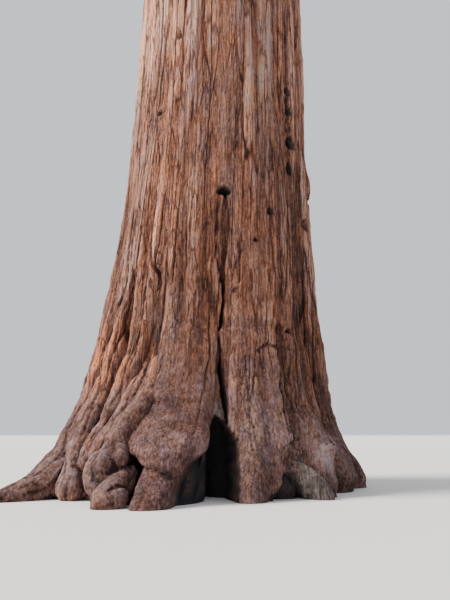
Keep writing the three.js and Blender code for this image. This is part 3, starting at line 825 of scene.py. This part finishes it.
rootRuns = {  # points are x, y, height and radius in metres
    "farRoot": [(-1.85, -0.7, 1.25, 0.145), (-1.97, -0.95, 0.88, 0.14), (-2.09, -1.28, 0.47, 0.135),
                (-2.19, -1.6, 0.21, 0.16), (-2.38, -1.82, 0.08, 0.145), (-2.66, -2.08, 0, 0.08)],
    "nearRoot": [(-1.63, -1.1, 1.25, 0.15), (-1.71, -1.3, 0.96, 0.158), (-1.79, -1.56, 0.57, 0.135),
                 (-1.8, -1.72, 0.27, 0.119), (-1.81, -1.8, 0.1, 0.141)],
    "finger": [(-1.82, -1.5, 0.6, 0.07), (-1.9, -1.7, 0.28, 0.066), (-1.94, -1.8, 0.1, 0.055)],
    "outerRidge": [(-1.37, -1.4, 1.21, 0.1), (-1.47, -1.6, 0.87, 0.099), (-1.59, -1.7, 0.64, 0.097),
                   (-1.67, -1.76, 0.42, 0.084)],
    "innerRidge": [(-1.18, -1.6, 1.17, 0.098), (-1.3, -1.75, 0.86, 0.097), (-1.41, -1.85, 0.69, 0.095),
                   (-1.51, -1.9, 0.52, 0.09)],
    "strand": [(-1, -1.8, 1.1, 0.13), (-1.13, -1.94, 0.84, 0.155), (-1.22, -2.05, 0.65, 0.15),
               (-1.3, -2.13, 0.5, 0.12)],
    "loop": [(-1.36, -2.08, 0.52, 0.08), (-1.44, -2.2, 0.44, 0.085), (-1.47, -2.32, 0.31, 0.086),
             (-1.42, -2.42, 0.19, 0.084), (-1.34, -2.46, 0.18, 0.078), (-1.3, -2.43, 0.25, 0.066)],
    "lobe": [(-1.09, -2.32, 0.33, 0.08), (-1.14, -2.44, 0.25, 0.104), (-1.22, -2.55, 0.17, 0.125),
             (-1.28, -2.6, 0.09, 0.126)],
    "upperKnob": [(-1.16, -2.22, 0.57, 0.086), (-1.17, -2.33, 0.48, 0.1)],
    "warmKnob": [(-1.3, -2.29, 0.49, 0.095), (-1.32, -2.39, 0.4, 0.115), (-1.32, -2.42, 0.31, 0.095)],
    "toe": [(-1.17, -2.58, 0.1, 0.14), (-1.27, -2.64, 0.05, 0.13)],
    "deadRoot": [(0.86, -1.58, 0.45, 0.035), (0.92, -1.72, 0.36, 0.05), (1.02, -1.77, 0.25, 0.085),
                 (1.12, -1.73, 0.13, 0.12), (1.19, -1.71, 0, 0.125)],
}
openRuns = ("loop", "upperKnob", "warmKnob", "toe")
knobs = openRuns + ("lobe", "strand")
# The warm spots are partly the bark's own orange and partly painted sunlight on the lit knobs
warmSpots = [  # x, y, height, reach, how warm
    (-1.34, -2.48, 0.42, 0.16, 0.60), (-1.82, -1.85, 0.12, 0.16, 0.25), (-1.55, -1.85, 0.62, 0.20, 0.5),
    (-1.90, -0.95, 1.05, 0.25, 0.4),
]
tangle = {"voxel": 0.016, "steps": 7, "sides": 14, "smoothing": 3, "coreShift": 0.95, "coreWiden": 1.15,
          "widen": 1.10, "ropes": 6, "ropeLength": 0.9, "ropeDepth": 0.020, "strips": 15, "stripLength": 0.45,
          "stripDepth": 0.007, "mottleDepth": 0.006, "foldDepth": 0.014, "standRounds": 14, "standGain": 20,
          "cutHeight": 0.001}


sunkSteps = ((0.95, 1.5, 0.5), (0.45, 1.15, 0.85))  # rise, inset and radius as shares of the first radius


def towardsAxis(place, distance):
    x, y, height, radius = place
    offset = np.array([x - trunkCentre(height), y])
    offset = offset * (1 - distance / np.linalg.norm(offset))
    return (offset[0] + trunkCentre(height), offset[1], height, radius)


# A start further up that is sunk in the bark, so that the run grows out of the trunk
def sunkStart(place, rise, inset, share):
    x, y, height, radius = place
    turn = math.atan2(x - trunkCentre(height), -y)
    high = height + rise
    reach = float(formedRadius(np.array([[turn]]), np.array([[high]]))[0, 0]) - radius * inset
    return (trunkCentre(high) + reach * math.sin(turn), -reach * math.cos(turn), high, radius * share)


# A smooth run of points through all controls but the first and last
def smoothPath(controls, steps):
    path = []
    for a, b, c, d in zip(controls, controls[1:], controls[2:], controls[3:]):
        for t in np.arange(steps) / steps:
            path.append(0.5 * (2 * b + (c - a) * t + (2 * a - 5 * b + 4 * c - d) * t * t
                               + (3 * b - a - 3 * c + d) * t ** 3))
    return path + [controls[-2]]


def smoothRun(places, steps):
    ends = [[2 * a - b for a, b in zip(*pair)] for pair in ((places[0], places[1]), (places[-1], places[-2]))]
    return np.array(smoothPath([np.array(place) for place in [ends[0]] + list(places) + [ends[1]]], steps))


# Tube with rounded ends as lists of points and faces
def roundedTube(path, sides):
    points, radii = path[:, :3], path[:, 3]
    tangents = unit(np.gradient(points, axis=0))
    domes = [(0.98, 0, -1), (0.8, 0, -1), (0.45, 0, -1), (0.45, -1, 1), (0.8, -1, 1), (0.98, -1, 1)]
    rounded = [(points[end] + tangents[end] * radii[end] * share * way,
                radii[end] * math.sqrt(1 - share ** 2), tangents[end]) for share, end, way in domes]
    rings = rounded[:3] + list(zip(points, radii, tangents)) + rounded[3:]
    turn = np.arange(sides)[:, None] * 2 * math.pi / sides
    vertices = []
    for centre, radius, tangent in rings:
        side = np.cross(tangent, (1.0, 0.0, 0.0))
        side = side / np.linalg.norm(side)
        upper = np.cross(side, tangent)
        vertices.append(centre + radius * (np.cos(turn) * side + np.sin(turn) * upper))
    faces = [tuple(face) for face in ringQuads(len(rings), sides)[0].tolist()]
    faces.append(tuple(range(sides))[::-1])
    faces.append(tuple((len(rings) - 1) * sides + j for j in range(sides)))
    return np.concatenate(vertices), faces


rootPaths, vertices, faces = [], [], []
for name, places in rootRuns.items():
    if places[0][2] > 1:
        places = [sunkStart(places[0], *step) for step in sunkSteps] + places
    path = smoothRun(places, tangle["steps"]) * (1, 1, 1, tangle["widen"])
    rootPaths.append(path)
    copies = [path]
    if name not in openRuns:
        cores = [towardsAxis(place, place[3] * tangle["coreShift"]) for place in path]
        copies.append(np.array(cores) * (1, 1, 1, tangle["coreWiden"]))
    for copy in copies:
        tubeVertices, tubeFaces = roundedTube(copy, tangle["sides"])
        first = sum(len(part) for part in vertices)
        faces += [tuple(corner + first for corner in face) for face in tubeFaces]
        vertices.append(tubeVertices)


def plainMesh(name, vertices, edges, faces):
    mesh = bpy.data.meshes.new(name)
    mesh.from_pydata(vertices, edges, faces)
    return mesh


# The mesh that the modifiers of a source make of it; the source goes
def evaluatedMesh(source):
    mesh = bpy.data.meshes.new_from_object(source.evaluated_get(bpy.context.evaluated_depsgraph_get()))
    bpy.data.objects.remove(source)
    return mesh


rawRoots = addObject("rawRoots", plainMesh("surface_roots", np.concatenate(vertices).tolist(), [], faces))
remesh = rawRoots.modifiers.new("skin", "REMESH")
remesh.mode = "VOXEL"
remesh.voxel_size = tangle["voxel"]
soften = rawRoots.modifiers.new("soften", "SMOOTH")
soften.factor = 0.5
soften.iterations = tangle["smoothing"]
rootMesh = evaluatedMesh(rawRoots)
print("roots joined", len(rootMesh.polygons))


def read(collection, key, width):
    values = np.empty(len(collection) * width, np.float32)
    collection.foreach_get(key, values)
    return values.reshape(-1, width).astype(float)


# Where each point lies on its nearest run: length along it, turn round it and the number of that run
def alongRuns(points):
    nearest = np.full(len(points), 9.0)
    along, turn, owner = np.zeros(len(points)), np.zeros(len(points)), np.zeros(len(points))
    for number, path in enumerate(rootPaths):
        run = number * 3.7
        for a, b in zip(path[:-1:2], path[2::2]):
            axis = b[:3] - a[:3]
            size = np.linalg.norm(axis)
            share = np.clip((points - a[:3]) @ axis / size ** 2, 0, 1)
            away = points - a[:3] - share[:, None] * axis
            gap = np.linalg.norm(away, axis=1) - mixNumbers(a[3], b[3], share)
            side = np.cross(axis, (1.0, 0.0, 0.0))
            side = side / np.linalg.norm(side)
            upper = np.cross(side, axis / size)
            closer = gap < nearest
            nearest = np.where(closer, gap, nearest)
            along = np.where(closer, run + share * size, along)
            turn = np.where(closer, np.arctan2(away @ upper, away @ side) / (2 * math.pi) + 0.5, turn)
            owner = np.where(closer, number, owner)
            run += size
    return along, turn, owner


# How far each point stands above its surroundings
def standing(points, normals, edges, rounds):
    eased = points.copy()
    first, second = edges[:, 0], edges[:, 1]
    count = np.bincount(edges.ravel(), minlength=len(points))[:, None]
    for _ in range(rounds):
        total = [np.bincount(first, eased[second, axis], len(points))
                 + np.bincount(second, eased[first, axis], len(points)) for axis in range(3)]
        eased = np.stack(total, axis=1) / np.maximum(count, 1)
    return np.sum((points - eased) * normals, axis=1)


rootPoints = read(rootMesh.vertices, "co", 3)
rootNormals = read(rootMesh.vertex_normals, "vector", 3)
edges = np.array([edge.vertices[:] for edge in rootMesh.edges])
along, turn, owner = alongRuns(rootPoints)
knob = np.isin(owner, [list(rootRuns).index(name) for name in knobs])
dead = (owner == list(rootRuns).index("deadRoot")) * 1.0
turned = np.arctan2(rootPoints[:, 0] - trunkCentre(rootPoints[:, 2]), -rootPoints[:, 1])
calm = calmShare(turned, rootPoints[:, 2])
noise = skinNoise(turn, along)
bent = turn + 0.06 * noise(4, 3, 78)
ropes = smooth(0, 0.35, cellPlates(bent, along, tangle["ropes"], tangle["ropeLength"], 71))
strips = smooth(0, 0.28, cellPlates(bent, along, tangle["strips"], tangle["stripLength"], 72))
mottle = noise(12, 14, 73) + 0.6 * noise(30, 30, 74)
folds = noise(3, 4, 76) + 0.5 * noise(6, 9, 77)
furrowed = (1 - 0.75 * calm) * (1 - 0.85 * knob)
lift = (tangle["ropeDepth"] * (ropes - 0.5) + tangle["stripDepth"] * (strips - 0.5)) * furrowed
lift = lift + tangle["mottleDepth"] * mottle + tangle["foldDepth"] * folds
rootPoints = rootPoints + rootNormals * lift[:, None]
# Painted shade and highlight: creases of the roots are painted darker and parts that stand out painted
# lighter
creaseShadeAndHighlight = standing(rootPoints, rootNormals, edges, tangle["standRounds"]) * tangle["standGain"]
plated = 0.50 * mixNumbers(0.50, 1, ropes) * mixNumbers(0.62, 1.05, strips)
smoothed = 0.39 + (0.12 * (strips - 0.5) + 0.14 * (ropes - 0.5)) * (1 - 0.8 * knob)
smoothed = smoothed + 0.08 * mottle + 0.05 * folds
high = smooth(1.0, 1.5, rootPoints[:, 2])
ridge = mixNumbers(plated, smoothed, calm) + np.clip(creaseShadeAndHighlight, -0.45, 0.12) - 0.03 + 0.06 * high
warm = np.maximum(0.8 * high, 0.4 * smooth(0.2, -0.4, rootNormals[:, 2]))
for *spot, reach, strength in warmSpots:
    warm = np.maximum(warm, strength * bump(np.linalg.norm(rootPoints - np.array(spot), axis=1), reach))
patches = 0.5 + 0.5 * noise(5, 3.1, 75)
grey = 0.12 * smooth(0.4, 0.9, patches) + 0.16 * smooth(0.1, 0.8, rootNormals[:, 2])
rootMesh.vertices.foreach_set("co", rootPoints.astype(np.float32).ravel())
addFields(rootMesh, {"ridge": np.clip(ridge, 0, 1), "grey": grey, "warm": warm * smooth(0.35, 0.7, ridge),
                     "burntAndShaded": np.zeros(len(ridge)), "wood": dead, "calm": calm,
                     "plain": np.maximum(0.5, calm)})

# The skin is cut just above the ground and closed again
cutter = bmesh.new()
cutter.from_mesh(rootMesh)
everything = cutter.verts[:] + cutter.edges[:] + cutter.faces[:]
bmesh.ops.bisect_plane(cutter, geom=everything, plane_co=(0, 0, tangle["cutHeight"]), plane_no=(0, 0, 1),
                       clear_inner=True)
bmesh.ops.holes_fill(cutter, edges=[edge for edge in cutter.edges if edge.is_boundary], sides=0)
cutter.to_mesh(rootMesh)
cutter.free()
rootMesh.polygons.foreach_set("use_smooth", np.ones(len(rootMesh.polygons), dtype=bool))
roots = addObject("surface_roots", rootMesh)
roots.data.materials.clear()
roots.data.materials.append(furrowedBark)
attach(roots, "root")
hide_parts("trunk")
print("roots made", len(rootMesh.polygons))


# Boughs: worked out the same way as the CAD boughs, then each carried on into its foliage mass

crown = {"base": 15.5, "widest": 24.5, "reach": 7.2, "reachLow": 5.2, "limbs": 22, "seed": 19,
         "lowestTip": 16.9, "highestTip": 35.6, "lowRadius": 0.40, "highRadius": 0.17, "lowMass": 2.55,
         "highMass": 1.95, "height": 40.0, "goldenAngle": math.radians(137.5), "topMasses": 3}


def hashed(seed):
    value = math.sin(seed * 127.1 + 311.7) * 43758.5453
    return value - math.floor(value)


def crownReach(height):
    if height < crown["widest"]:
        t = max(0, (height - crown["base"]) / (crown["widest"] - crown["base"]))
        return mixNumbers(crown["reachLow"], crown["reach"], math.sin(t * math.pi / 2))
    t = (height - crown["widest"]) / (crown["height"] - crown["widest"])
    return crown["reach"] * max(0, 1 - t ** 2.2) ** 0.7


def limbPlan(index):
    seed = index + crown["seed"]
    t = index / (crown["limbs"] - 1)
    tip = mixNumbers(crown["lowestTip"], crown["highestTip"], t ** 0.95) + 0.5 * (hashed(seed) - 0.5)
    rise = mixNumbers(2.5, 1.5, t) * mixNumbers(0.75, 1.3, hashed(seed + 80))
    massSize = mixNumbers(crown["lowMass"], crown["highMass"], t) * mixNumbers(0.88, 1.12, hashed(seed + 120))
    reach = crownReach(tip) * mixNumbers(0.86, 1.04, hashed(seed + 160))
    angle = index * crown["goldenAngle"] + 0.4 * (hashed(seed + 40) - 0.5)
    return {"tip": tip, "rise": rise, "massSize": massSize, "angle": angle,
            "radius": mixNumbers(crown["lowRadius"], crown["highRadius"], t),
            "massReach": max(reach - massSize, massSize * 0.7)}


def limbPath(plan, steps):
    outward = Vector((math.sin(plan["angle"]), -math.cos(plan["angle"]), 0))
    start = plan["tip"] - plan["rise"]
    places = [(-0.5, -0.25, -0.3), (0, -0.12, 0), (0.5, 0, 0.22), (0.85, 0, 0.62), (1, 0, 1),
              (1.12, 0.42 * plan["massSize"], 1), (1.15, 0.9 * plan["massSize"], 1)]
    controls = [outward * (share * plan["massReach"]) + Vector((0, 0, start + lift + plan["rise"] * climb))
                for share, lift, climb in places]
    return smoothPath(controls, steps)


def sweepBark(path, radii, sides, seed):
    path = np.array([tuple(point) for point in path])
    tangents = unit(np.gradient(path, axis=0))
    side = unit(np.cross(tangents, (0.0, 0.0, 1.0) if abs(tangents[0][2]) < 0.9 else (1.0, 0.0, 0.0)))
    upper = np.cross(side, tangents)
    run = np.concatenate([[0], np.cumsum(np.linalg.norm(np.diff(path, axis=0), axis=1))])[:, None]
    turn = np.arange(sides)[None, :] / sides
    ropes = smooth(0, 0.5, cellPlates(turn, run, 7, 2.2, seed))
    strips = smooth(0, 0.45, cellPlates(turn, run, 16, 0.8, seed + 1))
    out = 0.90 + 0.10 * ropes + 0.06 * strips + 0.07 * skinNoise(turn, run)(4, 1.7, seed + 2)
    out = radii[:, None] * out
    angle = turn * 2 * math.pi
    points = path[:, None, :] + (np.cos(angle) * out)[:, :, None] * side[:, None, :] \
        + (np.sin(angle) * out)[:, :, None] * upper[:, None, :]
    ridge = (0.3 + 0.7 * strips) * (0.55 + 0.45 * ropes)
    vertices = np.concatenate([points.reshape(-1, 3), path[[0, -1]]])
    quads, j, k = ringQuads(len(path), sides)
    last, centre = (len(path) - 1) * sides, len(path) * sides
    fans = np.concatenate([fan(k, j, centre), fan(last + j, last + k, centre + 1)])
    return vertices, quads, fans, np.concatenate([ridge.ravel(), [0.3, 0.3]])


boughShape = {"sides": 22, "steps": 9, "tipShare": 0.4, "endShare": 0.16, "collar": 0.5}
plans = [limbPlan(index) for index in range(crown["limbs"])]
limbPaths = [limbPath(plan, boughShape["steps"]) for plan in plans]
parts, offset = [], 0
for number, (plan, path) in enumerate(zip(plans, limbPaths)):
    share = np.linspace(0, 1, len(path))
    taper = np.interp(share, [0, 0.6, 1], [1, boughShape["tipShare"], boughShape["endShare"]])
    radii = plan["radius"] * taper * (1 + boughShape["collar"] * smooth(0.30, 0.10, share))
    vertices, quads, fans, ridge = sweepBark(path, radii, boughShape["sides"], 300 + number * 5)
    parts.append((vertices, quads + offset, fans + offset, ridge))
    offset += len(vertices)
vertices, quads, fans, ridge = [np.concatenate(group) for group in zip(*parts)]
still = np.zeros(len(vertices))
limbs = meshFromArrays("bough_bark", vertices, [quads, fans],
                       {"ridge": ridge, "grey": 0.4 * smooth(0.4, 0.9, ridge), "warm": still, "burntAndShaded": still,
                        "wood": still, "calm": still})
limbs.data.materials.append(furrowedBark)
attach(limbs, "root")
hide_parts(*["bough_%02d" % (index + 1) for index in range(crown["limbs"])])
print("boughs made")


# Foliage: from every bough end branches spread to tufts, each tuft has twigs, each twig carries sprays

growth = {"seed": 7, "tuftRadius": 0.86, "tufts": 17, "tuftsAtSize": 2.1, "twigs": 9,
          "sideTwigs": (0.45, 0.62, 0.8), "sprayLength": 0.42, "spraysAtTip": 3, "branchRadius": 0.055,
          "twigRadius": 0.016, "sideTwigRadius": 0.009, "coneChance": 0.06, "mostSprays": 11000,
          "underside": -0.75, "undersideGaps": 0.6, "farOutside": 12, "clearOfTrunk": 0.25,
          "clearBelow": 38.2, "axisStart": 33.0, "axisStep": 0.3}
dice = np.random.RandomState(growth["seed"])


def randomDirection():
    return Vector(dice.normal(size=3)).normalized()


def evenDirections(count):
    turn = dice.uniform(0, 2 * math.pi)
    for k in range(count):
        z = 1 - 2 * (k + 0.5) / count
        flat = math.sqrt(1 - z * z)
        angle = turn + k * crown["goldenAngle"]
        yield Vector((flat * math.cos(angle), flat * math.sin(angle), z))


def nearestOn(path, point):
    return min(path, key=lambda place: (place - point).length)


def bentLine(start, end, bend, steps):
    middle = (start + end) / 2 + bend
    shares = np.linspace(0, 1, steps + 1)
    return [start * (1 - t) ** 2 + middle * (2 * t * (1 - t)) + end * t * t for t in shares]


branches, twigs, sprays, coneSpots = [], [], [], []


def growTuft(centre, radius, outward):
    for direction in evenDirections(growth["twigs"]):
        direction = direction + randomDirection() * 0.35 + outward * 0.75 + Vector((0, 0, 0.15))
        direction = direction.normalized()
        reach = radius * dice.uniform(0.72, 1.0)
        tip = centre + direction * reach
        twig = bentLine(centre, tip, Vector((0, 0, -0.08 * reach)), 2)
        twigs.append((twig, growth["twigRadius"], growth["twigRadius"] * 0.4))
        ends = [(tip, direction)]
        for share in growth["sideTwigs"]:
            start = twig[1].lerp(tip, share * 2 - 1) if share > 0.5 else centre.lerp(twig[1], share * 2)
            aside = (direction * 0.8 + randomDirection()).normalized()
            end = start + aside * reach * dice.uniform(0.35, 0.55)
            twigs.append(([start, end], growth["sideTwigRadius"], growth["sideTwigRadius"] * 0.5))
            ends.append((end, aside))
        for end, along in ends:
            for number in range(growth["spraysAtTip"]):
                spread = 0.35 + 0.6 * (number > 0)
                aim = (along * 1.2 + randomDirection() * spread + Vector((0, 0, 0.1))).normalized()
                base = end - along * (0.10 * number)
                height = (end - centre).dot(outward + Vector((0, 0, 0.6))) / radius
                sprays.append((base, aim, dice.uniform(0.8, 1.2) * growth["sprayLength"], height))
        if dice.uniform() < growth["coneChance"]:
            coneSpots.append(tip - direction * 0.1)


def growMass(node, path):
    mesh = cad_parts[node].data
    corners = [vertex.co.copy() for vertex in mesh.vertices]
    tree = BVHTree.FromPolygons(corners, [tuple(face.vertices) for face in mesh.polygons])
    low = Vector([min(corner[axis] for corner in corners) for axis in range(3)])
    high = Vector([max(corner[axis] for corner in corners) for axis in range(3)])
    centre, half = (low + high) / 2, (high - low) / 2
    size = (half.x * half.y * half.z) ** (1 / 3)
    radius = growth["tuftRadius"]
    count = round(growth["tufts"] * (size / growth["tuftsAtSize"]) ** 2)
    for direction in evenDirections(count):
        direction = (direction + randomDirection() * 0.18).normalized()
        if direction.z < growth["underside"] and dice.uniform() < growth["undersideGaps"]:
            continue
        hit = tree.ray_cast(centre + direction * growth["farOutside"], -direction)
        if hit[0] is None:
            continue
        reach = (hit[0] - centre).length
        spot = centre + direction * max(reach - radius * 0.95, 0.2 * reach)
        clear = math.hypot(spot.x, spot.y) - coreRadius(spot.z)
        if clear < growth["clearOfTrunk"] and spot.z < growth["clearBelow"]:
            continue
        start = nearestOn(path, spot - Vector((0, 0, 0.5 * radius)))
        line = bentLine(start, spot, Vector((0, 0, -0.12 * (spot - start).length)), 3)
        branches.append((line, growth["branchRadius"], growth["twigRadius"] * 1.2))
        growTuft(spot, radius * dice.uniform(0.88, 1.12), direction)


massNames = ["foliage_%02d" % (index + 1) for index in range(crown["limbs"] + crown["topMasses"])]
axisHeights = np.arange(growth["axisStart"], trunk["top"], growth["axisStep"])
trunkAxis = [Vector((0, 0, height)) for height in axisHeights]
for index, name in enumerate(massNames):
    path = limbPaths[index][boughShape["steps"] * 2:] if index < crown["limbs"] else trunkAxis
    growMass(name, path)
print("grown", len(branches), "branches", len(twigs), "twigs", len(sprays), "sprays", len(coneSpots), "cones")


# Geometry Nodes: a swept tube along every line, and a small shape set on every point

# A node group with its named inputs: the group, what comes in, and the keys of the inputs on a modifier
def nodeGroup(name, inputs):
    group = bpy.data.node_groups.new(name, "GeometryNodeTree")
    group.interface.new_socket("Geometry", in_out="INPUT", socket_type="NodeSocketGeometry")
    keys = {label: group.interface.new_socket(label, in_out="INPUT", socket_type=kind).identifier
            for label, kind in inputs.items()}
    group.interface.new_socket("Geometry", in_out="OUTPUT", socket_type="NodeSocketGeometry")
    return group, addNode(group, "NodeGroupInput").outputs, keys


def closeGroup(group, given, geometry):
    painted = addNode(group, "GeometryNodeSetMaterial", {"Geometry": geometry, "Material": given["Material"]})
    addNode(group, "NodeGroupOutput", {"Geometry": painted.outputs["Geometry"]})


def named(group, label, kind):
    node = addNode(group, "GeometryNodeInputNamedAttribute", {"Name": label}, data_type=kind)
    return node.outputs["Attribute"]


# A mesh that grows by a node group, kept as a plain mesh
def grownPiece(name, mesh, group, settings):
    source = addObject(name, mesh)
    modifier = source.modifiers.new("grow", "NODES")
    modifier.node_group = group
    for key, value in settings.items():
        modifier[key] = value
    grown = evaluatedMesh(source)
    grown.name = name
    return addObject(name, grown)


tubeGroup, given, tubeKeys = nodeGroup("sweepTubes", {"Sides": "NodeSocketInt",
                                                      "Material": "NodeSocketMaterial"})
toCurve = addNode(tubeGroup, "GeometryNodeMeshToCurve", {"Mesh": given["Geometry"]})
profile = addNode(tubeGroup, "GeometryNodeCurvePrimitiveCircle", {"Resolution": given["Sides"], "Radius": 1})
toMesh = addNode(tubeGroup, "GeometryNodeCurveToMesh", {
    "Curve": toCurve.outputs["Curve"], "Profile Curve": profile.outputs["Curve"],
    "Scale": named(tubeGroup, "thickness", "FLOAT"), "Fill Caps": True})
closeGroup(tubeGroup, given, toMesh.outputs["Mesh"])


def sweepLines(name, lines, sides, material):
    places, edges, thickness = [], [], []
    for line, startRadius, endRadius in lines:
        first = len(places)
        places.extend(tuple(point) for point in line)
        edges.extend((first + k, first + k + 1) for k in range(len(line) - 1))
        thickness.extend(np.linspace(startRadius, endRadius, len(line)))
    mesh = plainMesh(name, places, edges, [])
    addFields(mesh, {"thickness": thickness})
    return grownPiece(name, mesh, tubeGroup, {tubeKeys["Sides"]: sides, tubeKeys["Material"]: material})


scatterGroup, given, scatterKeys = nodeGroup("setOnPoints", {"Shape": "NodeSocketObject",
                                                             "Material": "NodeSocketMaterial"})
shape = addNode(scatterGroup, "GeometryNodeObjectInfo", {"Object": given["Shape"]})
toRotation = addNode(scatterGroup, "FunctionNodeEulerToRotation",
                     {"Euler": named(scatterGroup, "turn", "FLOAT_VECTOR")})
instances = addNode(scatterGroup, "GeometryNodeInstanceOnPoints", {
    "Points": given["Geometry"], "Instance": shape.outputs["Geometry"],
    "Rotation": toRotation.outputs["Rotation"], "Scale": named(scatterGroup, "size", "FLOAT")})
realize = addNode(scatterGroup, "GeometryNodeRealizeInstances", {"Geometry": instances.outputs["Instances"]})
closeGroup(scatterGroup, given, realize.outputs["Geometry"])


# Turns that point a shape's local Z along each aim, with a free roll
def turnsTo(aims, rolls):
    z = unit(aims)
    helper = np.where(np.abs(z[:, 2:3]) < 0.9, np.array([[0, 0, 1.0]]), np.array([[1.0, 0, 0]]))
    x = unit(np.cross(helper, z))
    y = np.cross(z, x)
    c, s = np.cos(rolls)[:, None], np.sin(rolls)[:, None]
    x, y = x * c + y * s, y * c - x * s
    return np.stack([np.arctan2(y[:, 2], z[:, 2]), np.arcsin(np.clip(-x[:, 2], -1, 1)),
                     np.arctan2(x[:, 1], x[:, 0])], axis=1)


def setOnPoints(name, shape, places, aims, sizes, material):
    mesh = plainMesh(name, [tuple(place) for place in places], [], [])
    turns = turnsTo(np.array([tuple(aim) for aim in aims]), dice.uniform(0, 2 * math.pi, len(places)))
    turnField = mesh.attributes.new("turn", "FLOAT_VECTOR", "POINT")
    turnField.data.foreach_set("vector", turns.astype(np.float32).ravel())
    addFields(mesh, {"size": sizes})
    settings = {scatterKeys["Shape"]: shape, scatterKeys["Material"]: material}
    return grownPiece(name, mesh, scatterGroup, settings)


# One spray of cord-like leaf shoots, 1 unit long along Z: a spindle and six side kites
def sprayShape():
    vertices, faces = [(0, 0, 0), (0, 0, 1)], []
    for k in range(3):
        angle = k * 2 * math.pi / 3
        vertices.append((0.055 * math.cos(angle), 0.055 * math.sin(angle), 0.45))
    for k in range(3):
        a, b = 2 + k, 2 + (k + 1) % 3
        faces += [(0, b, a), (1, a, b)]
    for low, angle, length in ((0.18, 0, 0.46), (0.22, 180, 0.46), (0.40, 60, 0.40), (0.42, 240, 0.40),
                               (0.58, 120, 0.34), (0.62, 300, 0.34)):
        turn = math.radians(angle)
        out = Vector((math.cos(turn), math.sin(turn), 1.1)).normalized() * length
        wide = Vector((-math.sin(turn), math.cos(turn), 0)) * 0.062
        root = Vector((0, 0, low))
        first = len(vertices)
        kite = (root, root + out * 0.5 - wide, root + out, root + out * 0.5 + wide)
        vertices += [tuple(corner) for corner in kite]
        faces.append((first, first + 1, first + 2, first + 3))
    return bpy.data.objects.new("spray", plainMesh("spray", vertices, [], faces))


def coneShape():
    rings, sides = 4, 6
    vertices, faces = [(0, 0, 0), (0, 0, 1)], []
    for i in range(1, rings):
        for j in range(sides):
            angle = (j + 0.5 * i) * 2 * math.pi / sides
            wide = 0.36 * math.sin(math.pi * (i / rings) ** 0.85)
            vertices.append((wide * math.cos(angle), wide * math.sin(angle), i / rings))
    for j in range(sides):
        k = (j + 1) % sides
        faces.append((0, 2 + k, 2 + j))
        for i in range(rings - 2):
            low, high = 2 + i * sides, 2 + (i + 1) * sides
            faces += [(low + j, low + k, high + j), (low + k, high + k, high + j)]
        last = 2 + (rings - 2) * sides
        faces.append((1, last + j, last + k))
    return bpy.data.objects.new("seedCone", plainMesh("seedCone", vertices, [], faces))


def joinCrown(piece, slot, nodes):
    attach(piece, "root")
    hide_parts(*nodes)


def mottledMaterial(name, dark, pale, scale, roughness):
    material, tree, shader = newMaterial(name, roughness)
    colour = colourRamp(tree, stretchedNoise(tree, scale, 0.6, 4), [(0.35, dark), (0.65, pale)])
    tree.links.new(colour, shader.inputs["Base Color"])
    return material


twigBark = mottledMaterial("twigBark", (0.085, 0.040, 0.024), (0.24, 0.130, 0.080), 9, 0.9)
joinCrown(sweepLines("branches", branches, 5, twigBark), "twig_bark", massNames)
joinCrown(sweepLines("twigs", twigs, 3, twigBark), "twig_bark", massNames)
print("twigs made")

leafTints = [  # name, slot, colour, share of the sprays, counted from the shaded inside out
    ("leaves_deep", "foliage", (0.030, 0.062, 0.022), 0.26),
    ("leaves_green", "foliage", (0.055, 0.105, 0.032), 0.44),
    ("leaves_bright", "foliage_young", (0.105, 0.165, 0.045), 0.30),
]
spray = sprayShape()
depth = np.array([spot[3] for spot in sprays]) + dice.normal(size=len(sprays)) * 0.35
rank = np.argsort(np.argsort(depth)) / len(sprays)
low = 0
for name, slot, colour, share in leafTints:
    chosen = [spot for spot, place in zip(sprays, rank) if low <= place < low + share]
    low += share
    material = newMaterial(name, 0.75, colour)[0]
    for number, first in enumerate(range(0, len(chosen), growth["mostSprays"]), 1):
        places, aims, sizes, heights = zip(*chosen[first:first + growth["mostSprays"]])
        piece = setOnPoints("%s_%d" % (name, number), spray, places, aims, sizes, material)
        joinCrown(piece, slot, massNames)

down = [Vector((dice.uniform(-0.3, 0.3), dice.uniform(-0.3, 0.3), -1)) for spot in coneSpots]
coneMaterial = mottledMaterial("coneScales", (0.060, 0.034, 0.016), (0.20, 0.120, 0.055), 40, 0.8)
coneSizes = dice.uniform(0.055, 0.075, len(coneSpots))
joinCrown(setOnPoints("seed_cones", coneShape(), coneSpots, down, coneSizes, coneMaterial), "cone", massNames)
print("foliage made")


# Floor

turns = [k * 2 * math.pi / studio["floorSides"] for k in range(studio["floorSides"])]
rim = [(studio["floorRadius"] * math.cos(turn), studio["floorRadius"] * math.sin(turn), 0) for turn in turns]
piece = addObject("floor", plainMesh("floor", rim, [], [tuple(range(len(rim)))]))
piece.data.materials.append(newMaterial("paleFloor", 0.9, studio["floorColour"])[0])
piece.location = (0, 0, -studio["floorDrop"])
